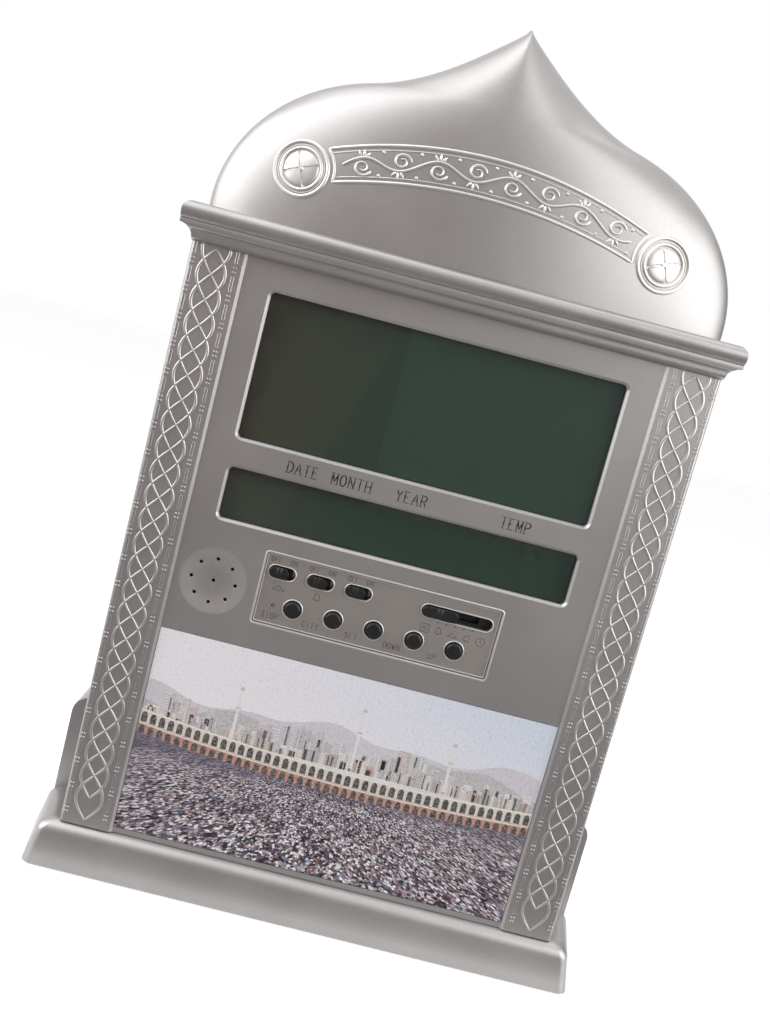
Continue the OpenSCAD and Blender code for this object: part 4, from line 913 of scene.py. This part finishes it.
class CLOCK_OT_lettering(bpy.types.Operator):
    """Printed words and signs of the displays, switches and buttons."""

    bl_idname = "clock.lettering"
    bl_label = "Lettering"
    display_z, switch_z, key_z = 150.75, 120.25, 101.6

    def execute(self, context):
        size, tint = sizes(), colours()
        self.lift = size.print_height / MM
        ink = plastic("printing_ink", tuple(tint.letters), 0.42, 5.0, 0.000005)
        h = size.letter_height / MM
        words = [("DATE", -35.05, 10.1), ("MONTH", -18.9, 13.0), ("YEAR", 0.95, 10.1), ("TEMP", 35.6, 9.8)]
        runs = [run for word, x, w in words for run in self.word(word, x, self.display_z, w, h)]
        piece("display_words", *ridges(runs, flat(PANEL_Y), 2, 0.02), ink, slot="black_plastic")

        plate = []
        for x in (-33.4, -20.6, -7.8):
            plate += self.word("OFF", x - 2.7, self.switch_z, 3.3, 1.6, 0.32)
            plate += self.word("ON", x + 3.1, self.switch_z, 2.3, 1.6, 0.32)
        names = [("STOP", -34.1, 5.6), ("CITY", -20.5, 5.4), ("SET", -6.7, 4.1)]
        names += [("DOWN", 7.1, 5.6), ("UP", 20.7, 2.9)]
        for word, x, w in names:
            plate += self.word(word, x, self.key_z, w, 1.95, 0.34)
        plate += self.signs()
        piece("control_words", *ridges(plate, flat(PLATE_Y), 2, 0.02), ink, slot="black_plastic")
        return {"FINISHED"}

    def word(self, text, cx, cz, width, height, stroke=None):
        """Letters with thick upright and thin level strokes and small serifs, centred on a place."""
        thick = stroke or height * 0.22
        gap = 0.28
        advance = width / (len(text) - gap)
        narrow = advance * (1 - gap)
        z0 = cz - height / 2
        runs = []
        for i, letter in enumerate(text):
            w = narrow * (0.5 if letter == "I" else 1)
            x0 = cx - width / 2 + advance * i + (narrow - w) / 2
            for stroke_points in STROKES[letter]:
                path = [tuple(map(float, p.split(","))) for p in stroke_points.lstrip("~").split()]
                path = [(x0 + x * w, z0 + z * height) for x, z in path]
                ends = [(path[0], path[1]), (path[-1], path[-2])]
                if stroke_points.startswith("~"):
                    path, ends = curve(path, 5), []
                else:
                    halves = [((a[0] + b[0]) / 2, (a[1] + b[1]) / 2) for a, b in zip(path, path[1:])]
                    path = [p for pair in zip(path, halves) for p in pair] + [path[-1]]
                widths = []
                for k in range(len(path)):
                    a, b = path[max(k - 1, 0)], path[min(k + 1, len(path) - 1)]
                    lean = abs(b[1] - a[1]) / max(1e-6, math.dist(a, b))
                    widths.append(thick * (0.58 + 0.42 * lean))
                runs.append((path, widths, self.lift, False))
                for (x, z), (nx, nz) in ends:
                    upright = abs(nz - z) > 2.5 * abs(nx - x)
                    if upright and min(abs(z - z0), abs(z - z0 - height)) < 0.01:
                        serif = [(x - thick * 0.85, z), (x, z), (x + thick * 0.85, z)]
                        runs.append((serif, thick * 0.42, self.lift, False))
        return runs

    def signs(self):
        """Small drawings under the switches: hills, bells, dots, a lamp, a boxed letter and a clock."""
        line = 0.27
        runs = []
        left_side = [(-1.3, -0.9), (-0.85, -0.4), (-0.75, 0.5)]
        bell_side = left_side + [(0, 1.2)] + [(-px, pz) for px, pz in reversed(left_side)]
        slope = [(-2.0, -0.9), (-0.9, -0.2), (0.1, 0.6), (0.9, -0.3), (2.2, -0.9)]

        def draw(points, width=line, closed=False):
            runs.append((points, width, self.lift, closed))

        def bell(x, z, tilt=0.0, k=1.0):
            c, s = math.cos(math.radians(tilt)), math.sin(math.radians(tilt))
            place = lambda px, pz: (x + k * (px * c - pz * s), z + k * (px * s + pz * c))
            turn = lambda points: [place(*p) for p in points]
            draw(turn(curve(bell_side, 4)))
            draw(turn([(-1.3, -0.9), (0, -0.95), (1.3, -0.9)]))
            draw(turn(arc(0, -0.95, 0.35, 180, 360, 6)))
            draw(turn([(0, 1.2), (0, 1.6)]))

        def rays(x, z, angles, near, far):
            for a in map(math.radians, angles):
                draw([(x + r * math.cos(a), z + r * math.sin(a)) for r in (near, far)])

        def hill(x, z, k=1.0):
            draw([(x + k * px, z + k * pz) for px, pz in curve(slope, 5)])
            draw([(x - 2.0 * k, z - 0.9 * k), (x, z - 1.0 * k), (x + 2.2 * k, z - 0.9 * k)])
            rays(x - 0.7 * k, z + 0.2 * k, (125, 150), 0.9 * k, 2.0 * k)

        hill(-33.4, 111.4)
        bell(-20.6, 111.4, 12)
        for dash in (-2.2, -0.9, 0.4, 1.7):
            draw([(dash - 7.8, 111.4), (dash - 7.0, 111.4)], 0.16)
        draw(circle(-33.9, 105.2, 0.42, 12), 0.5, True)
        rays(-33.9, 105.3, (30, 90, 150), 0.95, 1.5)
        for i in range(5):
            draw(circle(19.9 + 2.9 * i, 113.25, 0.16, 10), 0.32, True)
        draw(frame_path(14.7, 109.1, 17.5, 111.9, 0.25, 3), line, True)
        runs.extend(self.word("N", 16.1, 110.5, 1.1, 1.6, 0.3))
        bell(20.7, 110.5, 0, 0.95)
        hill(25.4, 110.4, 0.85)
        bell(30.3, 110.4, -25, 0.95)
        draw(circle(34.9, 110.3, 1.45, 24), line, True)
        draw([(34.9, 111.3), (34.9, 110.2), (35.6, 109.8)])
        return runs


class CLOCK_OT_picture(bpy.types.Operator):
    """Printed picture card: a made-up town behind an arcade and a field of flowers."""

    bl_idname = "clock.picture"
    bl_label = "Picture"
    front, layer_step = CARD_LOW.y - 0.02, 0.004
    horizon = CARD_LOW.z + 0.56 * (CARD_HIGH.z - CARD_LOW.z)
    half_turn = [math.pi * k / 8 for k in range(9)]

    def execute(self, context):
        tint = colours()
        dress(plastic("card_stock", linear(214, 212, 216), 0.4, 4.0, 0.00001), "picture_card")
        self.points, self.faces, self.shades = [], [], []
        self.rng = random.Random(11)
        self.sky(tint)
        self.town()
        self.arcade()
        mesh = bpy.data.meshes.new("picture_town")
        mesh.from_pydata([Vector(p) * MM for p in self.points], [], self.faces)
        layer = mesh.color_attributes.new("ink", "FLOAT_COLOR", "CORNER")
        for polygon, tone in zip(mesh.polygons, self.shades):
            for k in polygon.loop_indices:
                layer.data[k].color = (*tone, 1)
        mesh.materials.append(self.ink())
        link(bpy.data.objects.new("picture_town", mesh), slot="picture_print")

        # Field of flowers in front of the arches
        steps, drop = 48, 8.3
        depth = self.front - self.layer_step * 12
        points = []
        for a, _ in self.strips(steps + 1, steps):
            points += [(a, depth, CARD_LOW.z), (a, depth, self.terrace(a) - drop)]
        faces = [(2 * i, 2 * i + 2, 2 * i + 3, 2 * i + 1) for i in range(steps)]
        flowers = self.field(tint, CARD_LOW.z, self.horizon - 9)
        piece("picture_field", points, faces, flowers, slot="picture_print", smooth=False)
        return {"FINISHED"}

    def strips(self, count, parts=None):
        """Left and right edges of strips side by side, each the card's width over count or parts."""
        width = (CARD_HIGH.x - CARD_LOW.x) / (parts or count)
        return [(CARD_LOW.x + width * i, CARD_LOW.x + width * (i + 1)) for i in range(count)]

    def sky(self, tint):
        """Sky that turns bluer towards the right, and two lines of far hills."""
        rows = 10
        rise = (CARD_HIGH.z - self.horizon) / rows
        strips = self.strips(24)
        for i, (a, b) in enumerate(strips):
            for j in range(rows):
                share = (i / (len(strips) - 1)) ** 1.3 * (0.4 + 0.6 * j / (rows - 1))
                tone = [h + (s - h) * share for h, s in zip(tint.haze, tint.sky)]
                self.box(a, self.horizon + rise * j, b, self.horizon + rise * (j + 1), tone, 0)
        for base, swell, tone, layer in ((11, 3.0, (196, 192, 198), 1), (7, 3.4, (178, 174, 176), 2)):
            tops = []
            for i in range(61):
                wave = math.sin(i * 0.21 + layer * 2.1) * 0.6 + math.sin(i * 0.47 + layer) * 0.35
                tops.append(self.horizon + base + swell * wave + self.rng.uniform(-0.12, 0.12))
            for (a, b), left, right in zip(self.strips(60), tops, tops[1:]):
                hill = [(a, self.horizon), (b, self.horizon), (b, right), (a, left)]
                self.shape(hill, linear(*tone), layer)

    def town(self):
        """Blocks with rows of windows, and a few slim towers with round caps."""
        rng, wide = self.rng, CARD_HIGH.x - CARD_LOW.x
        walls = [(206, 196, 186), (188, 180, 174), (220, 214, 208), (172, 168, 170)]
        walls += [(196, 176, 160), (160, 158, 160), (178, 138, 126)]
        rows = ((3, 58, (4.0, 10.0), (2.0, 4.6), 0.62), (4, 84, (2.2, 5.4), (1.4, 3.2), 0.2))
        for layer, count, heights, widths, haze in rows:
            for i in range(count):
                w = rng.uniform(*widths)
                x = CARD_LOW.x + (wide - w) * (i + rng.uniform(0, 0.8)) / count
                h = rng.uniform(*heights) * (1.0 + 0.25 * math.sin(i * 0.35))
                wall = [c + (f - c) * haze for c, f in zip(rng.choice(walls), (212, 212, 216))]
                shift = rng.randint(-8, 10)
                self.block(x, self.horizon - 1, w, h, linear(*[min(255, c + shift) for c in wall]), layer)
        for x, h in ((31, 17), (72, 20), (104, 16)):
            x, z = CARD_LOW.x + x, self.horizon
            shaft = [(x - 0.55, z), (x + 0.55, z), (x + 0.42, z + h), (x - 0.42, z + h)]
            self.shape(shaft, linear(218, 214, 210), 5)
            self.box(x - 0.95, z + h * 0.62, x + 0.95, z + h * 0.62 + 0.7, linear(196, 190, 186), 6)
            cap = [(x + 0.8 * math.cos(a), z + h + 1.3 * math.sin(a)) for a in self.half_turn]
            self.shape(cap, linear(186, 184, 186), 6)

    def terrace(self, x):
        """Height of the top of the arcade, which curves across the picture."""
        return self.horizon - 2.0 + 3.4 * ((x - 14) / 68) ** 2

    def arcade(self):
        """Two storeys of arches."""
        storeys = [(0.0, 4.6, (206, 199, 186), (58, 50, 48), 7)]
        storeys += [(-4.6, 3.9, (178, 128, 104), (62, 48, 46), 9)]
        for rise, drop, stone, dark, layer in storeys:
            for a, b in self.strips(44):
                ta, tb = self.terrace(a) + rise, self.terrace(b) + rise
                self.shape([(a, ta - drop), (b, tb - drop), (b, tb), (a, ta)], linear(*stone), layer)
                ledge = [(a, ta - 0.55), (b, tb - 0.55), (b, tb - 0.2), (a, ta - 0.2)]
                self.shape(ledge, linear(232, 226, 216), layer + 1)
                m, t, r = (a + b) / 2, (ta + tb) / 2, (b - a) * 0.33
                foot, top = t - drop + 0.25, t - 1.1 - r
                arch = [(m + r * math.cos(v), top + r * 1.35 * math.sin(v)) for v in self.half_turn]
                self.shape([(m - r, foot), (m + r, foot)] + arch, linear(*dark), layer + 1)

    def shape(self, outline_points, tone, layer):
        """A flat printed shape, each layer a hair in front of the last."""
        first = len(self.points)
        for x, z in outline_points:
            x, z = min(max(x, CARD_LOW.x), CARD_HIGH.x), min(max(z, CARD_LOW.z), CARD_HIGH.z)
            self.points.append((x, self.front - self.layer_step * layer, z))
        self.faces.append(tuple(range(first, len(self.points))))
        self.shades.append(tone)

    def box(self, x0, z0, x1, z1, tone, layer):
        self.shape([(x0, z0), (x1, z0), (x1, z1), (x0, z1)], tone, layer)

    def block(self, x, z, w, h, tone, layer):
        """A house front with a shaded side and rows of windows."""
        glass_wide, glass_high, pitch = 0.42, 0.5, 0.85
        self.box(x, z, x + w, z + h, tone, layer)
        self.box(x + w * 0.72, z, x + w, z + h, shade(tone, 0.8), layer + 0.4)
        step = self.rng.uniform(0.75, 1.05)
        for i in range(int(h / step)):
            for j in range(int(w * 0.7 / (step * pitch))):
                a, b = x + 0.25 + j * step * pitch, z + 0.35 + i * step
                dim = shade(tone, self.rng.uniform(0.4, 0.7))
                self.box(a, b, a + step * glass_wide, b + step * glass_high, dim, layer + 0.6)

    def ink(self):
        """Print of the town, with a soft grain."""
        r = Recipe("picture_ink", IOR=1.45, Coat_Weight=0.25, Coat_Roughness=0.2)
        p = r.place()
        ink = r.add("ShaderNodeVertexColor", {"layer_name": "ink"})
        soft = r.noise(p, 1.1, 3.0, 0.65)
        base = r.mix(soft.between(0.35, 0.7) * 0.25, ink, linear(226, 220, 224))
        base = r.mix((1 - soft.between(0.2, 0.5)) * 0.3, base, linear(96, 88, 92), "MULTIPLY")
        r.set(Base_Color=base, Roughness=0.38 + soft * 0.08)
        r.bump(soft, 0.000005)
        return r.material

    def field(self, tint, z0, z1):
        """Flowers that grow larger towards the foot of the picture."""
        r = Recipe("flower_field_ink", IOR=1.45, Coat_Weight=0.25, Coat_Roughness=0.2)
        p = r.place()
        x, _, z = r.split(p)
        depth = (z1 - z) / (z1 - z0)
        near = 0.3 + depth * 0.7
        far_up = near.math("LOGARITHM", near, math.e) * ((z1 - z0) / 0.7)
        spread = r.join(x / near, far_up * 1.25)
        cell = r.cells(spread, 0.95)
        random_value, second, _ = r.split(cell)
        patch = r.noise(r.join(x / near * 0.1, far_up * 0.16), 1.0, 3.0, 0.6)
        stops = [(0.0, tint.soil), (0.2, linear(64, 54, 62)), (0.4, tint.heather)]
        stops += [(0.6, linear(186, 172, 178)), (0.72, tint.blossom), (0.95, linear(250, 246, 248))]
        tone = random_value * 0.85 + patch * 0.55 - 0.24
        base = r.add("ShaderNodeValToRGB", {"stops": stops}, {"Fac": tone})
        rose = (second > 0.955) * (random_value > 0.3)
        base = r.mix(rose * 0.75, base, linear(178, 92, 96))
        blue = (second < 0.08) * (random_value > 0.3)
        base = r.mix(blue * 0.7, base, linear(96, 104, 158))
        band = (1 - depth.between(0.0, 0.16)) * 0.55
        base = r.mix(band, base, linear(78, 72, 104))
        gap = r.cells(spread, 0.95, "DISTANCE_TO_EDGE", "Distance")
        base = r.mix((1 - gap.between(0.02, 0.2)) * 0.5, base, tint.soil)
        r.set(Base_Color=base, Roughness=0.4 + patch * 0.06)
        r.bump(patch, 0.000005)
        return r.material


class CLOCK_OT_rear(bpy.types.Operator):
    """Battery door at the back."""

    bl_idname = "clock.rear"
    bl_label = "Rear"

    def execute(self, context):
        softened("battery_door", "battery_cover", sizes().edge_bevel, paint(), "door")
        return {"FINISHED"}


class CLOCK_OT_inside(bpy.types.Operator):
    """Boards, switches, speaker, cells, contacts, leads and screws inside the housing."""

    bl_idname = "clock.inside"
    bl_label = "Inside"

    def execute(self, context):
        steel = plastic("zinc_plated_steel", linear(186, 187, 190), 0.3, 2.0, 0.00001, 1.0, 0.08)
        nickel = plastic("nickel_plated_steel", linear(196, 194, 188), 0.22, 2.0, 0.000008, 1.0, 0.06)
        ivory = plastic("ivory_nylon", linear(222, 216, 198), 0.42)
        black = plastic("black_moulding", linear(40, 40, 42), 0.5)
        dress(black, "display_frame", "key_switch_bodies", "selector_switch_body", "speaker_clamp")
        screwed = ("board", "key_board", "speaker", "rear_cover", "plinth")
        dress(steel, *(f"{place}_screws" for place in screwed))
        dress(steel, "slide_switch_bodies", "speaker_basket")
        dress(nickel, "contact_springs", "contact_plates")
        dress(ivory, "wire_connectors", *(f"{key}_plunger" for key in KEYS))
        dress(plastic("light_guide_acrylic", linear(232, 234, 236), 0.25), "light_guides")
        dress(plastic("led_resin_lens", linear(238, 232, 200), 0.18), "backlight_leds")
        dress(plastic("chip_resin", linear(30, 30, 32), 0.22), "chip_blobs")
        dress(plastic("component_sleeves", linear(52, 58, 72), 0.35, 1.2, spread=0.4), "board_components")
        dress(plastic("sensor_bead", linear(60, 44, 36), 0.3), "temperature_sensor")
        dress(plastic("red_lead_sleeve", linear(178, 34, 30), 0.38), "positive_lead", "speaker_leads")
        dress(plastic("black_lead_sleeve", linear(34, 34, 36), 0.38), "negative_lead")
        dress(plastic("speaker_paper", linear(58, 54, 50), 0.85, 1.6, 0.00006), "speaker_cone")
        dress(plastic("magnet_plating", linear(150, 150, 152), 0.32, 2.0, 0.00001, 0.9), "speaker_magnet")
        dress(plastic("foam_ring", linear(60, 60, 62), 0.95, 2.2, 0.00012), "speaker_gasket")
        dress(self.board(), "main_board", "key_board")
        film = self.stripes("ribbon_film", 1.27, 0.36, linear(206, 204, 198), linear(120, 120, 124))
        rubber = self.stripes("strip_rubber", 0.5, 0.5, linear(214, 150, 152), linear(60, 50, 52))
        dress(film, "ribbon_cable")
        dress(rubber, "contact_strips")
        dress(self.cell(), "lower_cell", "upper_cell")
        return {"FINISHED"}

    def board(self):
        """Green lacquered board with copper runs and round pads."""
        r = Recipe("lacquered_board", IOR=1.5, Coat_Weight=0.4, Coat_Roughness=0.15)
        p = r.place()
        x, _, z = r.split(p)
        run = (abs((z % 2.54) - 1.27) < 0.3) * (r.noise(r.join(x * 0.12, z * 0.02), 1.0, 1.0) > 0.47)
        across = (abs((x % 3.81) - 1.9) < 0.3) * (r.noise(r.join(x * 0.02, z * 0.12, 5.0), 1.0, 1.0) > 0.52)
        trace = run.math("MAXIMUM", run, across)
        dx, dz = (x % 5.08) - 2.54, (z % 5.08) - 2.54
        far = dx * dx + dz * dz
        pad = (far < 0.72) * (far > 0.12)
        weave = r.noise(p, 2.2, 2.0)
        base = r.mix(weave, linear(24, 82, 48), linear(34, 98, 60))
        base = r.mix(trace * 0.8, base, linear(52, 128, 74))
        base = r.mix(pad, base, linear(196, 190, 176))
        r.set(Base_Color=base, Metallic=pad * 0.9, Roughness=0.36 - pad * 0.1 + weave * 0.06)
        r.bump(trace + pad, 0.00004)
        return r.material

    def stripes(self, name, pitch, share, light, dark):
        """Thin upright stripes, one after the other along the width."""
        r = Recipe(name)
        p = r.place()
        line = ((r.split(p)[0] % pitch) < pitch * share) * 1.0
        fine = r.noise(p, 3.0)
        r.set(Base_Color=r.mix(line * 0.8, shade(light, 0.95), dark), Roughness=0.42 + fine * 0.1)
        r.bump(line, 0.00002)
        return r.material

    def cell(self):
        """Battery cell: printed sleeve with a copper-coloured end and steel poles."""
        r = Recipe("cell_sleeve", Coat_Weight=0.3, Coat_Roughness=0.2)
        p = r.place()
        x = r.split(p)[0]
        fine = r.noise(p, 1.5)
        pole, copper = 24.6, 14.0
        end = abs(x) > pole
        collar = (abs(x) > copper) * (abs(x) < pole + 0.1)
        base = r.mix(fine, linear(34, 60, 44), linear(40, 70, 52))
        base = r.mix(collar, base, linear(172, 112, 66))
        base = r.mix(end, base, linear(188, 188, 190))
        metal = end.math("MAXIMUM", end, collar * 0.7)
        r.set(Base_Color=base, Metallic=metal, Roughness=0.3 + fine * 0.08)
        r.bump(fine, 0.00001)
        return r.material


class CLOCK_OT_stage(bpy.types.Operator):
    """Camera, soft studio light, white floor and the cards that paint and windows reflect."""

    bl_idname = "clock.stage"
    bl_label = "Stage"

    def execute(self, context):
        scene = bpy.context.scene
        scene.view_settings.view_transform = "Standard"
        data = bpy.data.cameras.new("photo_camera")
        data.sensor_fit = "VERTICAL"
        data.sensor_height = 36
        data.lens = 39.79
        data.clip_start = 0.01
        camera = bpy.data.objects.new("photo_camera", data)
        scene.collection.objects.link(camera)
        right, up = Vector((0.9676, 0.0085, 0.2524)), Vector((-0.25074, 0.15222, 0.95601))
        ahead = Vector((0.03034, 0.98831, -0.14941))
        turn = Matrix((right, up, -ahead)).transposed()
        camera.matrix_world = Matrix.Translation((-0.017225, -0.37985, 0.1988)) @ turn.to_4x4()
        scene.camera = camera

        world = bpy.data.worlds.new("white_studio")
        scene.world = world
        sky = Nodes(world)
        power = 0.5 + sky.seen() * 0.5
        white = sky.add("ShaderNodeBackground", {}, {"Color": (1, 1, 1), "Strength": power})
        sky.add("ShaderNodeOutputWorld", {}, {"Surface": white})

        self.floor()
        # Name, place, width and height, turn in degrees, brightness
        for card in (
            ("front_left_card", (-0.2, -0.95, 0.25), (0.4, 1.14), (90, 0, 0), (0.24, 0.165, 0.16)),
            ("far_left_card", (-0.66, -0.9, 0.1), (0.52, 0.84), (90, 0, 0), (0.42, 0.37, 0.36)),
            ("front_right_card", (0.17, -0.95, 0.25), (0.34, 1.1), (90, 0, 0), (0.3, 0.29, 0.285)),
            ("low_right_card", (0.62, -0.95, -0.02), (0.56, 0.5), (90, 0, 0), (0.5, 0.48, 0.47)),
            ("table_card", (0, -0.5, 0.003), (1.6, 0.92), (0, 0, 0), (0.22, 0.2, 0.2)),
            ("side_card", (0.75, 0.42, 0.3), (0.6, 0.9), (90, 0, 120), (0.3, 0.3, 0.3)),
            ("right_glow", (0.66, -0.88, 0.7), (0.6, 0.94), (80, 0, 20), (3.2, 3.2, 3.2)),
            ("left_glow", (-0.62, -0.45, 1.02), (0.7, 0.8), (50, 0, -50), (3.4, 3.4, 3.45)),
            ("overhead_glow", (-0.15, 0.0, 1.3), (1.3, 0.8), (0, 0, 0), (2.2, 2.2, 2.2)),
        ):
            self.card(*card)
        self.lamp("left_softbox", (-0.95, -0.3, 0.6), (1.0, 0.9), 8.0)
        self.lamp("right_softbox", (0.86, -0.4, 0.4), (0.62, 0.9), 4.6)
        return {"FINISHED"}

    def floor(self):
        """White floor, brighter where the camera looks."""
        r = Recipe("studio_floor", Base_Color=(0.86, 0.86, 0.86), Roughness=0.9)
        glow = r.add("ShaderNodeEmission", {}, {"Color": (1, 1, 1), "Strength": r.seen() * 0.5})
        r.show(r.add("ShaderNodeAddShader", {}, {0: r.shader, 1: glow}))
        self.sheet("studio_floor", (8, 8), (0, 0, -0.0002), r.material)

    def sheet(self, name, extent, place, material):
        """A flat rectangle of the stage."""
        w, h = extent[0] / 2, extent[1] / 2
        mesh = bpy.data.meshes.new(name)
        mesh.from_pydata([(-w, -h, 0), (w, -h, 0), (w, h, 0), (-w, h, 0)], [], [(0, 1, 2, 3)])
        mesh.materials.append(material)
        obj = bpy.data.objects.new(name, mesh)
        obj.location = place
        bpy.context.scene.collection.objects.link(obj)
        return obj

    def card(self, name, place, extent, turn, tone):
        """A card that shows in reflections and through the windows only."""
        r = Recipe(name)
        r.show(r.add("ShaderNodeEmission", {}, {"Color": tone, "Strength": 1.0}))
        obj = self.sheet(name, extent, place, r.material)
        obj.rotation_euler = [math.radians(a) for a in turn]
        obj.visible_camera = False
        obj.visible_diffuse = False
        obj.visible_shadow = False

    def lamp(self, name, place, extent, power):
        """A soft box that faces the middle of the clock."""
        data = bpy.data.lights.new(name, "AREA")
        data.shape = "RECTANGLE"
        data.size, data.size_y = extent
        data.energy = power
        obj = bpy.data.objects.new(name, data)
        obj.location = place
        aim = Vector((0, 0, 0.2)) - Vector(place)
        obj.rotation_euler = aim.to_track_quat("-Z", "Y").to_euler()
        bpy.context.scene.collection.objects.link(obj)


class CLOCK_PT_panel(bpy.types.Panel):
    """Lists the clock's groups of pieces, its sizes and its colours."""

    bl_idname = "CLOCK_PT_panel"
    bl_label = "Azan clock"
    bl_space_type = "VIEW_3D"
    bl_region_type = "UI"
    bl_category = "Azan clock"

    def draw(self, context):
        for maker in MAKERS:
            self.layout.operator(maker.bl_idname)
        for group in (context.scene.clock_sizes, context.scene.clock_colours):
            box = self.layout.box()
            for name in group.__annotations__:
                box.prop(group, name)


MAKERS = [
    CLOCK_OT_stage,
    CLOCK_OT_housing,
    CLOCK_OT_dome,
    CLOCK_OT_dome_relief,
    CLOCK_OT_columns,
    CLOCK_OT_displays,
    CLOCK_OT_controls,
    CLOCK_OT_lettering,
    CLOCK_OT_picture,
    CLOCK_OT_rear,
    CLOCK_OT_inside,
]


def register():
    for cls in (ClockSizes, ClockColours, *MAKERS, CLOCK_PT_panel):
        bpy.utils.register_class(cls)
    bpy.types.Scene.clock_sizes = PointerProperty(type=ClockSizes)
    bpy.types.Scene.clock_colours = PointerProperty(type=ClockColours)


def unregister():
    del bpy.types.Scene.clock_colours
    del bpy.types.Scene.clock_sizes
    for cls in (CLOCK_PT_panel, *reversed(MAKERS), ClockColours, ClockSizes):
        bpy.utils.unregister_class(cls)


def main():
    register()
    for maker in MAKERS:
        group, name = maker.bl_idname.split(".")
        getattr(getattr(bpy.ops, group), name)()


if __name__ == "__main__":
    main()
